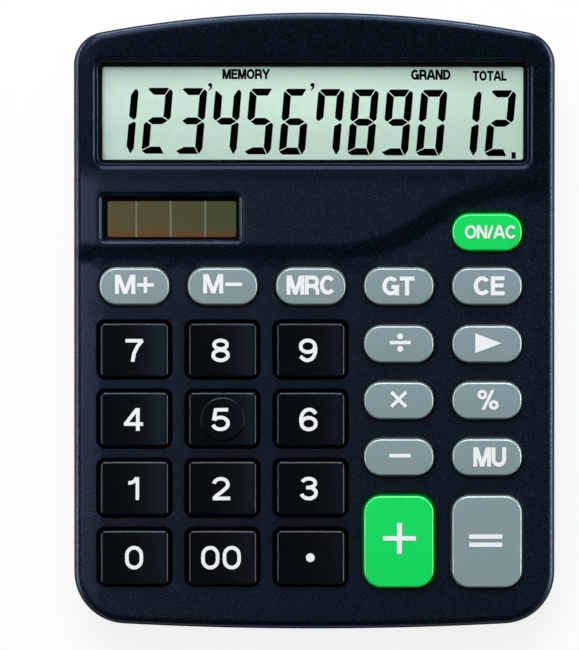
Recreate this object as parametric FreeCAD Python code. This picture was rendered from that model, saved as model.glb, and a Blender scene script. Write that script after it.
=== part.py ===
import FreeCAD, Part
import math
import os
from FreeCAD import Placement, Rotation, Vector

# Desktop solar calculator, in millimetres.
# +X runs to the right of the keyboard, +Y to the display, +Z up.
# The origin is on the table, under the middle of the outline.

# Case outline, seen from above; its width and length follow from the keyboard and display
front_arc_radius = 890.0
back_arc_radius = 292.0
front_corner_radius = 13.0
back_corner_radius = 8.3

# Case heights above the table, slopes in degrees
foot_clearance = 1.2
parting_height = 8.5
front_height = 14.0
keyboard_slope = 4.0
display_slope = 16.5
fold_radius = 25.0
side_draft = 1.5
tray_draft = 3.0

# Case walls
top_skin = 2.0
side_wall = 2.2
floor_thickness = 2.0
rim_bevel = 1.35
tray_edge_bevel = 0.9
lip_thickness = 1.0
lip_height = 1.6
lip_gap = 0.1

# Raised deck with the wave-shaped front, seen from above
deck_raise = 1.3
wave_run = 4.3
wave_key_margin = 1.14
wave_start_x = 4.0
wave_low_radius = 42.0
wave_high_radius = 56.0
wave_turn = 36.0

# Keyboard grid, measured along the keyboard's plane; a lane is the space between key tops
keyboard_shift = -0.9
keyboard_side_margin = 5.0
column_lane = 4.4
number_front_margin = 18.0
number_row_lane = 4.1
function_row_lane = 4.65
memory_number_lane = 4.65
memory_function_lane = 4.95
power_row_lane = 4.0
power_back_margin = 8.76
tall_front_margin = 10.45
tall_key_lane = 4.85

# Keys: the length and width are those of the top face
number_key_width = 16.6
number_key_length = 13.2
number_key_corner = 1.0
number_key_taper = 0.7
dish_depth = 0.45
dish_margin = 0.6
centre_disc_radius = 5.5
centre_disc_rise = 0.2
pill_key_width = 17.1
pill_key_length = 9.5
pill_key_corner = 4.4
tall_key_width = 17.6
function_key_taper = 0.2
key_rise = 3.0
key_edge_chamfer = 0.35
key_gap = 0.3
key_top_wall = 1.6
key_side_wall = 1.5
flange_overlap = 0.8
flange_thickness = 1.0
flange_corner = 1.6
seat_gap = 0.05
stem_size = 3.6
stem_reach = 4.0

# Rubber keypad and circuit board, along the keyboard's plane
dome_height = 2.45
dome_width = 8.0
dome_length = 6.4
dome_top_share = 0.55
dome_wall = 0.8
pill_width = 2.6
pill_length = 2.2
pill_thickness = 0.4
mat_thickness = 0.8
mat_side_margin = 9.0
mat_front_margin = 8.0
mat_back_margin = 6.5
board_thickness = 1.6
board_side_margin = 1.4
board_front_margin = 0.9
board_back_margin = 6.3
board_corner = 3.0

# Display, along the display slope
recess_side_margin = 5.15
recess_length = 28.8
recess_corner = 2.9
recess_back_margin = 11.3
recess_front_margin = 6.99
display_shift = -0.4
bevel_run = 0.5
bevel_drop = 0.5
ledge_run = 0.5
second_drop = 1.1
well_run = 0.6
well_depth = 3.4
frame_wall = 3.0
window_overlap = 1.2
window_thickness = 1.0
glass_thickness = 0.7
glass_margin = 0.9
glass_ledge = 2.0
glass_corner = 0.6
reflector_thickness = 0.25
holder_wall = 1.0
holder_floor = 1.1
holder_gap = 0.3
ear_radius = 2.2
ear_side_margin = 14.75
hook_spread = 14.0
hook_width = 6.0
hook_thickness = 1.2
ribbon_side_margin = 23.65
ribbon_thickness = 0.2
ribbon_bend = 6.0

# Solar window in the raised deck
solar_width = 35.8
solar_length = 12.4
solar_corner = 1.5
solar_side_margin = 6.2
solar_fold_overlap = 1.0
solar_bevel = 0.45
solar_ledge = 0.9
solar_skin = 1.9
solar_cell_thickness = 1.1
solar_cell_overlap = 1.1
solar_cell_gap = 0.3
solar_lead_radius = 0.5
solar_lead_spacing = 2.2
solar_lead_inset = 14.0

# Screws and their bosses
case_screw_radius = 1.25
case_screw_length = 8.0
case_head_radius = 2.6
case_head_height = 1.6
case_head_recess = 0.2
case_boss_radius = 2.5
case_post_radius = 3.4
post_height = 3.0
counterbore_gap = 0.4
pilot_gap = 0.05
pilot_extra = 0.4
front_boss_side_margin = 20.0
back_boss_side_margin = 26.0
middle_boss_side_margin = 10.0
middle_boss_fold_offset = 4.2
board_screw_radius = 0.7
board_screw_length = 4.0
board_head_radius = 1.7
board_head_height = 1.2
board_boss_radius = 1.7
boss_clearance = 0.5
deck_screw_back_margin = 9.0

# Battery bay and its door, an AA cell
cell_radius = 7.15
cell_length = 50.5
cell_nub_radius = 2.7
cell_nub_height = 1.2
bay_wall = 1.2
bay_gap = 0.4
bay_back_margin = 10.0
spring_space = 3.0
contact_space = 0.8
contact_thickness = 0.4
contact_width = 9.0
spring_rise = 1.8
door_thickness = 1.8
door_gap = 0.2
rail_width = 1.0
rail_thickness = 0.8
rail_gap = 0.1
grip_width = 16.0
grip_groove = 0.9
grip_pitch = 1.8
grip_depth = 0.5
grip_count = 6
grip_margin = 6.0
lead_radius = 0.6
lead_offset = 2.0
lead_bend = 4.0

# Parts on the underside of the circuit board
blob_radius = 4.5
blob_height = 1.4
blob_shoulder = 0.75
blob_crown = 0.4
capacitor_radius = 2.5
capacitor_length = 8.0
capacitor_spacing = 8.0
resistor_length = 2.0
resistor_width = 1.25
resistor_height = 0.6
resistor_pitch = 3.5
resistor_count = 4
diode_radius = 0.9
diode_length = 4.0

# Rubber feet
foot_radius = 4.5
foot_seat = 1.0
foot_chamfer = 0.4
foot_side_margin = 15.0
foot_front_margin = 15.0
foot_back_margin = 18.0

# Flats that stand for round shapes
peg_side_count = 12
screw_side_count = 8
foot_side_count = 16
cell_side_count = 24
number_flat_count = 1
pill_flat_count = 3
frame_flat_count = 3
board_flat_count = 2

# Ribs
rib_thickness = 1.2
rib_height = 1.4
rib_pitch = 26.0

key_slope = math.radians(keyboard_slope)
view_slope = math.radians(display_slope)

# Key rows, from the front edge along the keyboard's plane
number_pitch = number_key_length + number_row_lane
number_rows = [number_front_margin + i * number_pitch for i in range(4)]
memory_row = number_rows[3] + (number_key_length + pill_key_length) / 2 + memory_number_lane
function_pitch = pill_key_length + function_row_lane
last_function_row = memory_row - pill_key_length - memory_function_lane
function_rows = [last_function_row - i * function_pitch for i in (2, 1, 0)]
power_row = memory_row + pill_key_length + power_row_lane
tall_back = function_rows[0] - pill_key_length / 2 - tall_key_lane
tall_key_length = tall_back - tall_front_margin
tall_row = (tall_front_margin + tall_back) / 2
column_count = 5
column_pitch = tall_key_width + column_lane

# Overall sizes, from the keyboard in front and the display behind
case_width = column_count * column_pitch + 2 * keyboard_side_margin
keyboard_run = (power_row + power_back_margin) * math.cos(key_slope)
display_run = recess_front_margin + recess_length * math.cos(view_slope) + recess_back_margin
case_length = keyboard_run + display_run
recess_width = case_width - 2 * recess_side_margin
front_y = -case_length / 2
back_y = case_length / 2
front_v = front_y / math.cos(key_slope)
front_boss_x = case_width / 2 - front_boss_side_margin
back_boss_x = case_width / 2 - back_boss_side_margin
middle_boss_x = case_width / 2 - middle_boss_side_margin
foot_x = case_width / 2 - foot_side_margin


def tan_degrees(angle):
    return math.tan(math.radians(angle))


# The fold is where the keyboard's plane meets the display slope.
fold_y = back_y - display_run
fold_z = front_height + (fold_y - front_y) * math.tan(key_slope)
centre_z = front_height - front_y * math.tan(key_slope)
floor_bottom = foot_clearance
floor_top = foot_clearance + floor_thickness


def tilted(origin, angle):
    return Placement(origin, Rotation(Vector(1, 0, 0), angle))


# Local frames: w stands off the surface, v runs up the slope.
keyboard_frame = tilted(Vector(0, 0, centre_z), keyboard_slope)
display_frame = tilted(Vector(0, fold_y, fold_z), display_slope)


def place(shape, frame):
    moved = shape.copy()
    moved.Placement = frame.multiply(shape.Placement)
    return moved


def on_keyboard(shape):
    return place(shape, keyboard_frame)


def on_display(shape):
    return place(shape, display_frame)


def line(start, end):
    return Part.LineSegment(start, end).toShape()


def arc(centre, radius, start, end, z=0.0):
    points = []
    for angle in (start, (start + end) / 2, end):
        x = centre[0] + radius * math.cos(angle)
        y = centre[1] + radius * math.sin(angle)
        points.append(Vector(x, y, z))
    return Part.Arc(*points).toShape()


def box(x0, x1, y0, y1, z0, z1):
    return Part.makeBox(x1 - x0, y1 - y0, z1 - z0, Vector(x0, y0, z0))


def regular_ring(centre, radius, sides, first=Vector(1, 0, 0), second=Vector(0, 1, 0)):
    """Corners of a regular polygon in the plane of two unit directions."""
    ring = []
    for i in range(sides):
        angle = 2 * math.pi * i / sides
        step = first * (radius * math.cos(angle)) + second * (radius * math.sin(angle))
        ring.append(centre + step)
    return ring


def flat_face(ring):
    return Part.Face(Part.makePolygon(ring + ring[:1]))


def prism(ring, height):
    return flat_face(ring).extrude(Vector(0, 0, height))


def stack(rings):
    """Solid through level rings that turn in the same steps, made of flat faces."""
    faces = [flat_face(rings[0]), flat_face(rings[-1])]
    for low, high in zip(rings, rings[1:]):
        for i in range(len(low)):
            j = (i + 1) % len(low)
            faces.append(flat_face([low[i], low[j], high[j], high[i]]))
    return Part.makeSolid(Part.makeShell(faces))


def loft(wires):
    """Solid through level wires, with straight sides between each two."""
    return Part.makeLoft(wires, True, True)


def peg(x, y, radius, z0, z1, sides=peg_side_count):
    """Upright round piece or hole, with few sides."""
    return prism(regular_ring(Vector(x, y, z0), radius, sides), z1 - z0)


def lying_peg(start, radius, along, sides=peg_side_count):
    """Round piece that lies flat, with few sides."""
    across = along.cross(Vector(0, 0, 1)).normalize()
    ring = regular_ring(start, radius, sides, across, Vector(0, 0, 1))
    return flat_face(ring).extrude(along)


def fuse(shapes):
    first = shapes[0]
    if len(shapes) == 1:
        return first
    return first.fuse(shapes[1:]).removeSplitter()


def one_solid(shape):
    return shape.Solids[0]


def round_rect(x, y, width, length, corner, z, flats):
    """Level ring of a rectangle whose corners turn in short flats."""
    a = width / 2 - corner
    b = length / 2 - corner
    ring = []
    for i, (sx, sy) in enumerate(((1, -1), (1, 1), (-1, 1), (-1, -1))):
        for step in range(flats + 1):
            angle = (i - 1 + step / flats) * math.pi / 2
            px = x + sx * a + corner * math.cos(angle)
            py = y + sy * b + corner * math.sin(angle)
            ring.append(Vector(px, py, z))
    return ring


def rounded_path(points, radius):
    """Wire of straight runs joined by tangent arcs."""
    edges = []
    last = points[0]
    for before, corner, after in zip(points, points[1:], points[2:]):
        toward = (before - corner).normalize()
        away = (after - corner).normalize()
        turn = math.pi - toward.getAngle(away)
        setback = radius * math.tan(turn / 2)
        start = corner + toward * setback
        end = corner + away * setback
        bisector = (toward + away).normalize()
        middle = corner + bisector * (radius / math.cos(turn / 2) - radius)
        edges.append(line(last, start))
        edges.append(Part.Arc(start, middle, end).toShape())
        last = end
    edges.append(line(last, points[-1]))
    return Part.Wire(edges)


# Case outline


def outline(inset, z):
    """The case's outline, offset inwards. Every arc keeps its centre."""
    half = case_width / 2
    front_c = front_y + front_arc_radius
    back_c = back_y - back_arc_radius
    fx = half - front_corner_radius
    bx = half - back_corner_radius
    fy = front_c - math.sqrt((front_arc_radius - front_corner_radius) ** 2 - fx ** 2)
    by = back_c + math.sqrt((back_arc_radius - back_corner_radius) ** 2 - bx ** 2)
    fa = math.atan2(fy - front_c, fx)
    ba = math.atan2(by - back_c, bx)
    side = half - inset
    front_r = front_corner_radius - inset
    back_r = back_corner_radius - inset
    edges = [
        arc((0, front_c), front_arc_radius - inset, -math.pi - fa, fa, z),
        arc((fx, fy), front_r, fa, 0, z),
        line(Vector(side, fy, z), Vector(side, by, z)),
        arc((bx, by), back_r, 0, ba, z),
        arc((0, back_c), back_arc_radius - inset, ba, math.pi - ba, z),
        arc((-bx, by), back_r, math.pi - ba, math.pi, z),
        line(Vector(-side, by, z), Vector(-side, fy, z)),
        arc((-fx, fy), front_r, -math.pi, -math.pi - fa, z),
    ]
    return Part.Wire(edges)


def outline_back(x, inset):
    """Where the outline's back arc lies at x, offset inwards."""
    radius = back_arc_radius - inset
    return back_y - back_arc_radius + math.sqrt(radius ** 2 - x ** 2)


def outline_front(x, inset):
    radius = front_arc_radius - inset
    return front_y + front_arc_radius - math.sqrt(radius ** 2 - x ** 2)


def cover_block(inset, z0, z1):
    """Outline block above the parting line, narrower towards the top."""
    grow = tan_degrees(side_draft)
    low = outline(inset + (z0 - parting_height) * grow, z0)
    high = outline(inset + (z1 - parting_height) * grow, z1)
    return loft([low, high])


def tray_block(inset, z0, z1):
    """Outline block below the parting line, narrower towards the table."""
    grow = tan_degrees(tray_draft)
    low = outline(inset + (parting_height - z0) * grow, z0)
    high = outline(inset + (parting_height - z1) * grow, z1)
    return loft([low, high])


def keyboard_z(y, drop=0.0):
    return front_height + (y - front_y) * math.tan(key_slope) - drop / math.cos(key_slope)


def display_z(y, drop=0.0):
    return fold_z + (y - fold_y) * math.tan(view_slope) - drop / math.cos(view_slope)


def surface_block(rise, drop):
    """All that lies under the keyboard's plane, raised, and under the display slope."""
    slope_gain = math.tan(view_slope) - math.tan(key_slope)
    gap = keyboard_z(fold_y, drop) + rise - display_z(fold_y, drop)
    y = fold_y + gap / slope_gain
    z = display_z(y, drop)
    setback = fold_radius * math.tan((view_slope - key_slope) / 2)
    bend_start = Vector(0, y - setback * math.cos(key_slope), z - setback * math.sin(key_slope))
    bend_end = Vector(0, y + setback * math.cos(view_slope), z + setback * math.sin(view_slope))
    middle = (key_slope + view_slope) / 2
    centre = bend_start + Vector(0, -math.sin(key_slope), math.cos(key_slope)) * fold_radius
    bend = centre + Vector(0, math.sin(middle), -math.cos(middle)) * fold_radius
    far_front = Vector(0, -case_length, keyboard_z(-case_length, drop) + rise)
    far_back = Vector(0, case_length, display_z(case_length, drop))
    low_back = Vector(0, case_length, -case_length)
    low_front = Vector(0, -case_length, -case_length)
    edges = [
        line(low_front, far_front),
        line(far_front, bend_start),
        Part.Arc(bend_start, bend, bend_end).toShape(),
        line(bend_end, far_back),
        line(far_back, low_back),
        line(low_back, low_front),
    ]
    face = Part.Face(Part.Wire(edges))
    face.translate(Vector(-case_width, 0, 0))
    return face.extrude(Vector(2 * case_width, 0, 0))


def wave_wire(w):
    """Plan of the raised deck at height w off the keyboard's plane."""
    offset = wave_run * w / deck_raise
    turn = math.radians(wave_turn)
    start_y = front_v + memory_row + pill_key_length / 2 + wave_key_margin
    low_c = (wave_start_x, start_y + wave_low_radius)
    bend_x = wave_start_x + wave_low_radius * math.sin(turn)
    bend_y = start_y + wave_low_radius * (1 - math.cos(turn))
    high_x = bend_x + wave_high_radius * math.sin(turn)
    high_y = bend_y - wave_high_radius * math.cos(turn)
    low_r = wave_low_radius - offset
    high_r = wave_high_radius + offset
    down = -math.pi / 2
    up = math.pi / 2
    low_arc = arc(low_c, low_r, down, down + turn, w)
    high_arc = arc((high_x, high_y), high_r, up + turn, up, w)
    left = Vector(-case_width, start_y + offset, w)
    right = Vector(case_width, high_y + high_r, w)
    back_right = Vector(case_width, case_length, w)
    back_left = Vector(-case_width, case_length, w)
    edges = [
        line(left, low_arc.firstVertex().Point),
        low_arc,
        high_arc,
        line(high_arc.lastVertex().Point, right),
        line(right, back_right),
        line(back_right, back_left),
        line(back_left, left),
    ]
    return Part.Wire(edges)


def bevelled_rim(solid):
    """Cuts the edge between the sides and the top surface."""
    upward = 0.9
    sideways = 0.5
    edges = []
    for edge in solid.Edges:
        rises = []
        for face in solid.ancestorsOfType(edge, Part.Face):
            u0, u1, v0, v1 = face.ParameterRange
            rises.append(face.normalAt((u0 + u1) / 2, (v0 + v1) / 2).z)
        if len(rises) == 2 and max(rises) > upward and abs(min(rises)) < sideways:
            edges.append(edge)
    return solid.makeChamfer(rim_bevel, edges)


def case_outside():
    high = case_length
    block = cover_block(0, parting_height, high)
    low = bevelled_rim(one_solid(block.common(surface_block(0, 0))))
    raised = bevelled_rim(one_solid(block.common(surface_block(deck_raise, 0))))
    wave = on_keyboard(loft([wave_wire(-2 * deck_raise), wave_wire(3 * deck_raise)]))
    return one_solid(fuse([low, raised.common(wave)]))


def case_inside():
    block = cover_block(side_wall, parting_height - top_skin, case_length)
    return one_solid(block.common(surface_block(0, top_skin)))


# Keyboard layout. Each key has a name, a centre (u, v) and a style.


def key_styles():
    number = dict(
        width=number_key_width + 2 * number_key_taper,
        length=number_key_length + 2 * number_key_taper,
        corner=number_key_corner + number_key_taper,
        taper=number_key_taper,
        flats=number_flat_count,
    )
    pill = dict(
        width=pill_key_width + 2 * function_key_taper,
        length=pill_key_length + 2 * function_key_taper,
        corner=pill_key_corner + function_key_taper,
        taper=function_key_taper,
        flats=pill_flat_count,
    )
    tall = dict(
        width=tall_key_width + 2 * function_key_taper,
        length=tall_key_length + 2 * function_key_taper,
        corner=pill_key_corner + function_key_taper,
        taper=function_key_taper,
        flats=pill_flat_count,
    )
    return dict(number=number, pill=pill, tall=tall)


def key_layout():
    middle = (column_count - 1) / 2
    columns = [keyboard_shift + (i - middle) * column_pitch for i in range(column_count)]
    number_names = [
        ["key_0", "key_00", "key_point"],
        ["key_1", "key_2", "key_3"],
        ["key_4", "key_5", "key_6"],
        ["key_7", "key_8", "key_9"],
    ]
    function_names = [
        ["key_minus", "key_mark_up"],
        ["key_times", "key_percent"],
        ["key_divide", "key_backspace"],
    ]
    memory_names = [
        "key_memory_plus",
        "key_memory_minus",
        "key_memory_recall",
        "key_grand_total",
        "key_clear_entry",
    ]
    keys = []
    for row, names in zip(number_rows, number_names):
        for u, name in zip(columns, names):
            keys.append((name, u, front_v + row, "number"))
    for row, names in zip(function_rows, function_names):
        for u, name in zip(columns[3:], names):
            keys.append((name, u, front_v + row, "pill"))
    for u, name in zip(columns, memory_names):
        keys.append((name, u, front_v + memory_row, "pill"))
    keys.append(("key_plus", columns[3], front_v + tall_row, "tall"))
    keys.append(("key_equals", columns[4], front_v + tall_row, "tall"))
    keys.append(("key_on_clear", columns[4], front_v + power_row, "pill"))
    return keys


styles = key_styles()
keys = key_layout()
key_spots = {name: (u, v) for name, u, v, style in keys}
flange_top = -top_skin - seat_gap
flange_bottom = flange_top - flange_thickness
stem_bottom = -stem_reach
dome_top = stem_bottom - seat_gap
mat_top = dome_top - dome_height
mat_bottom = mat_top - mat_thickness
board_top = mat_bottom
board_bottom = board_top - board_thickness


def key_hole(u, v, style):
    size = styles[style]
    width = size["width"] + 2 * key_gap
    length = size["length"] + 2 * key_gap
    ring = round_rect(u, v, width, length, size["corner"] + key_gap, -2 * top_skin, size["flats"])
    return on_keyboard(prism(ring, 2 * top_skin + 2 * deck_raise))


def key_body(u, v, style):
    """Drafted cap over a captive flange, hollow below, with a pressing stem."""
    size = styles[style]
    rings = []
    levels = [
        (0.0, -top_skin - seat_gap),
        (size["taper"] - key_edge_chamfer, key_rise - key_edge_chamfer),
        (size["taper"], key_rise),
    ]
    for inset, w in levels:
        width = size["width"] - 2 * inset
        length = size["length"] - 2 * inset
        rings.append(round_rect(u, v, width, length, size["corner"] - inset, w, size["flats"]))
    cap = stack(rings)
    if style == "number":
        cap = cap.cut(dish(u, v, size))
    width = size["width"] + 2 * (key_gap + flange_overlap)
    length = size["length"] + 2 * (key_gap + flange_overlap)
    flange = prism(round_rect(u, v, width, length, flange_corner, flange_bottom, 1), flange_thickness)
    a = size["width"] / 2 - key_side_wall - size["taper"]
    b = size["length"] / 2 - key_side_wall - size["taper"]
    roof = key_rise - key_top_wall
    pocket = box(u - a, u + a, v - b, v + b, flange_bottom, roof)
    s = stem_size / 2
    stem = box(u - s, u + s, v - s, v + s, stem_bottom, roof)
    return fuse([fuse([cap, flange]).cut(pocket), stem])


def dish(u, v, size):
    """Shallow trough along v, pressed into the top face."""
    half = size["width"] / 2 - size["taper"] - dish_margin
    radius = (half ** 2 + dish_depth ** 2) / (2 * dish_depth)
    low = Vector(u, v - size["length"], key_rise + radius - dish_depth)
    return Part.makeCylinder(radius, 2 * size["length"], low, Vector(0, 1, 0))


def key(name, u, v, style):
    body = key_body(u, v, style)
    if name == "key_5":
        disc = peg(u, v, centre_disc_radius, key_rise - key_top_wall / 2, key_rise + centre_disc_rise)
        body = fuse([body, disc])
    return on_keyboard(one_solid(body))


# Rubber keypad and what it presses


def dome_spots():
    spots = []
    for name, u, v, style in keys:
        if style == "tall":
            shift = styles[style]["length"] / 4
            spots += [(u, v - shift), (u, v + shift)]
        else:
            spots.append((u, v))
    return spots


def frustum(u, v, width, length, share, w0, w1):
    """Four-sided dome that narrows to a share of its width and length."""
    rings = []
    for scale, w in ((1, w0), (share, w1)):
        a = width / 2 * scale
        b = length / 2 * scale
        rings.append([
            Vector(u - a, v - b, w),
            Vector(u + a, v - b, w),
            Vector(u + a, v + b, w),
            Vector(u - a, v + b, w),
        ])
    return stack(rings)


def board_screw_spots():
    """Screws stand in the lanes between the keys and behind the memory row."""
    lane = column_pitch / 2
    zero_u, zero_v = key_spots["key_0"]
    double_u, seven_v = key_spots["key_00"][0], key_spots["key_7"][1]
    low_v = zero_v + number_pitch / 2
    high_v = seven_v - number_pitch / 2
    plus_u, divide_v = key_spots["key_plus"][0], key_spots["key_divide"][1]
    mid_v = divide_v - function_pitch / 2
    memory_v = key_spots["key_memory_plus"][1]
    back_v = memory_v + deck_screw_back_margin + board_boss_radius
    return [
        (zero_u + lane, low_v),
        (double_u + lane, high_v),
        (zero_u + lane, high_v),
        (plus_u + lane, mid_v),
        (double_u + lane, back_v),
        (plus_u + lane / 2, back_v),
    ]


def mat_edges():
    left = key_spots["key_0"][0] - mat_side_margin
    right = key_spots["key_equals"][0] + mat_side_margin
    front = key_spots["key_0"][1] - mat_front_margin
    back = key_spots["key_memory_plus"][1] + mat_back_margin
    return left, right, front, back


def rubber_keypad():
    left, right, front, back = mat_edges()
    power_u, power_v = key_spots["key_on_clear"]
    sheet = box(left, right, front, back, mat_bottom, mat_top)
    tab_back = power_v + mat_back_margin
    tab = box(power_u - mat_side_margin, right, back - mat_back_margin, tab_back, mat_bottom, mat_top)
    domes = []
    cavities = []
    for u, v in dome_spots():
        domes.append(frustum(u, v, dome_width, dome_length, dome_top_share, mat_top, dome_top))
        inner_width = dome_width - 2 * dome_wall
        inner_length = dome_length - 2 * dome_wall
        roof = dome_top - 2 * dome_wall
        cavities.append(frustum(u, v, inner_width, inner_length, dome_top_share, mat_bottom, roof))
    mat = fuse([sheet, tab] + domes).cut(Part.makeCompound(cavities))
    holes = []
    for u, v in board_screw_spots():
        if v < back + board_boss_radius:
            radius = board_boss_radius + boss_clearance
            holes.append(peg(u, v, radius, mat_bottom, mat_top, screw_side_count))
    return on_keyboard(one_solid(mat.cut(Part.makeCompound(holes))))


def carbon_pills():
    roof = dome_top - 2 * dome_wall
    a = pill_width / 2
    b = pill_length / 2
    pills = []
    for u, v in dome_spots():
        pills.append(box(u - a, u + a, v - b, v + b, roof - pill_thickness, roof))
    return on_keyboard(Part.makeCompound(pills))


def board_edges():
    left, right, front, back = mat_edges()
    power_v = key_spots["key_on_clear"][1]
    return (
        left - board_side_margin,
        right + board_side_margin,
        front - board_front_margin,
        power_v + board_back_margin,
    )


def circuit_board():
    left, right, front, back = board_edges()
    centre_u = (left + right) / 2
    centre_v = (front + back) / 2
    ring = round_rect(
        centre_u,
        centre_v,
        right - left,
        back - front,
        board_corner,
        board_bottom,
        board_flat_count,
    )
    board = prism(ring, board_thickness)
    holes = []
    for u, v in board_screw_spots():
        radius = board_screw_radius + 2 * pilot_gap
        holes.append(peg(u, v, radius, board_bottom, board_top, screw_side_count))
    return on_keyboard(one_solid(board.cut(Part.makeCompound(holes))))


def chip_blob():
    u = keyboard_shift
    v = key_spots["key_7"][1]
    radii = [blob_radius, blob_radius * blob_shoulder, blob_radius * blob_crown]
    heights = [0.0, blob_height * blob_shoulder, blob_height]
    rings = []
    for radius, height in zip(radii, heights):
        rings.append(regular_ring(Vector(u, v, board_bottom - height), radius, peg_side_count))
    return on_keyboard(stack(rings))


def parts_row_v():
    return key_spots["key_memory_plus"][1] + mat_back_margin


def capacitors():
    cans = []
    for i in range(2):
        centre = Vector(
            keyboard_shift + column_pitch / 2 + i * capacitor_spacing,
            parts_row_v(),
            board_bottom - capacitor_radius,
        )
        cans.append(lying_peg(centre, capacitor_radius, Vector(0, capacitor_length, 0)))
    return on_keyboard(Part.makeCompound(cans))


def resistors():
    chips = []
    for i in range(resistor_count):
        u = keyboard_shift - column_pitch + i * resistor_pitch
        v = parts_row_v()
        top = board_bottom
        chips.append(box(u, u + resistor_width, v, v + resistor_length, top - resistor_height, top))
    return on_keyboard(Part.makeCompound(chips))


def diode():
    u = keyboard_shift - column_pitch
    start = Vector(u, parts_row_v() + 2 * resistor_length, board_bottom - diode_radius)
    return on_keyboard(lying_peg(start, diode_radius, Vector(diode_length, 0, 0)))


# Display stack, listed from the top surface down

display_centre_v = (back_y - recess_back_margin - fold_y) / math.cos(view_slope) - recess_length / 2
well_lean = well_depth * math.tan(view_slope)
opening_centre_v = display_centre_v - well_lean
opening_inset = bevel_run * 2 + ledge_run + well_run
opening_width = recess_width - 2 * opening_inset
opening_length = recess_length - 2 * opening_inset
window_width = opening_width + 2 * window_overlap
window_length = opening_length + 2 * window_overlap
window_bottom = -well_depth - window_thickness
front_glass_bottom = window_bottom - glass_thickness
rear_glass_bottom = front_glass_bottom - glass_thickness
reflector_bottom = rear_glass_bottom - reflector_thickness
holder_bottom = reflector_bottom - holder_floor
glass_width = opening_width + 2 * glass_margin
glass_length = opening_length + 2 * glass_margin
ribbon_width = glass_width - 2 * ribbon_side_margin


def display_ring(inset, w, centre_v=display_centre_v):
    return round_rect(
        display_shift,
        centre_v,
        recess_width - 2 * inset,
        recess_length - 2 * inset,
        recess_corner - inset,
        w,
        frame_flat_count,
    )


def display_cutter():
    """Stepped recess: bevel, ledge, second bevel, then walls that lean so that the mould opens straight up."""
    inner = bevel_run + ledge_run
    mouth = stack([display_ring(-bevel_run, bevel_drop), display_ring(bevel_run, -bevel_drop)])
    well = stack([
        display_ring(inner, 0),
        display_ring(inner, -bevel_drop),
        display_ring(inner + bevel_run, -second_drop),
        display_ring(opening_inset, -well_depth, opening_centre_v),
    ])
    through = prism(display_ring(opening_inset, -well_depth - top_skin, opening_centre_v), top_skin)
    return on_display(fuse([mouth, well, through]))


def display_plate(width, length, corner, top, bottom, extra_front=0.0):
    centre_v = opening_centre_v - extra_front / 2
    ring = round_rect(display_shift, centre_v, width, length + extra_front, corner, bottom, 1)
    return prism(ring, top - bottom)


def display_frame_ring():
    width = opening_width + 2 * frame_wall
    length = opening_length + 2 * frame_wall
    return on_display(display_plate(width, length, recess_corner, -top_skin / 2, -well_depth))


def display_window():
    plate = display_plate(window_width, window_length, recess_corner / 2, -well_depth, window_bottom)
    return on_display(plate)


def lcd_front_glass():
    plate = display_plate(glass_width, glass_length, glass_corner, window_bottom, front_glass_bottom)
    return on_display(plate)


def lcd_rear_glass():
    plate = display_plate(
        glass_width,
        glass_length,
        glass_corner,
        front_glass_bottom,
        rear_glass_bottom,
        glass_ledge,
    )
    return on_display(plate)


def lcd_reflector():
    plate = display_plate(glass_width, glass_length, glass_corner, rear_glass_bottom, reflector_bottom)
    return on_display(plate)


def holder_sizes():
    inner_width = window_width + 2 * holder_gap
    inner_length = window_length + 2 * holder_gap
    return inner_width, inner_length


def ear_spots():
    inner_width, inner_length = holder_sizes()
    v = opening_centre_v - inner_length / 2 - glass_ledge - holder_wall - ear_radius
    spread = opening_width / 2 - ear_side_margin
    return [(display_shift - spread, v), (display_shift + spread, v)]


ear_top = reflector_bottom


def lcd_holder():
    """Tray that holds the glass against the case, with two screw ears and a ribbon slot."""
    inner_width, inner_length = holder_sizes()
    outer_width = inner_width + 2 * holder_wall
    outer_length = inner_length + 2 * holder_wall
    top = -well_depth
    tray = display_plate(outer_width, outer_length, holder_wall, top, holder_bottom, glass_ledge)
    hollow = display_plate(inner_width, inner_length, holder_wall / 2, top, reflector_bottom, glass_ledge)
    tray = tray.cut(hollow)
    ears = []
    holes = []
    r = ear_radius
    hole_radius = board_screw_radius + 2 * pilot_gap
    for u, v in ear_spots():
        ears.append(peg(u, v, r, holder_bottom, ear_top))
        ears.append(box(u - r, u + r, v, v + r + holder_wall / 2, holder_bottom, ear_top))
        holes.append(peg(u, v, hole_radius, holder_bottom, ear_top, screw_side_count))
    holder = fuse([tray] + ears).cut(Part.makeCompound(holes))
    front_v = opening_centre_v - inner_length / 2 - glass_ledge
    half = ribbon_width / 2 + holder_gap
    slot = box(
        display_shift - half,
        display_shift + half,
        front_v - 2 * holder_wall,
        front_v + holder_wall / 2,
        front_glass_bottom,
        front_glass_bottom + 4 * ribbon_thickness,
    )
    holder = on_display(holder.cut(slot))
    for x, y in case_boss_spots():
        holder = holder.cut(peg(x, y, case_boss_radius + boss_clearance, floor_top, case_length))
    return one_solid(holder)


def display_hooks():
    """Hooks of the top case that the back edge of the display holder slips under."""
    inner_width, inner_length = holder_sizes()
    edge_v = opening_centre_v + inner_length / 2 + holder_wall
    shapes = []
    for side in (-1, 1):
        u = display_shift + side * hook_spread
        a = hook_width / 2
        low = holder_bottom - seat_gap
        toe = low - hook_thickness
        leg_v = edge_v + holder_gap
        shapes.append(box(u - a, u + a, leg_v, leg_v + hook_thickness, toe, -top_skin / 2))
        shapes.append(box(u - a, u + a, edge_v - hook_thickness, leg_v, toe, low))
    return [on_display(shape) for shape in shapes]


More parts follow.
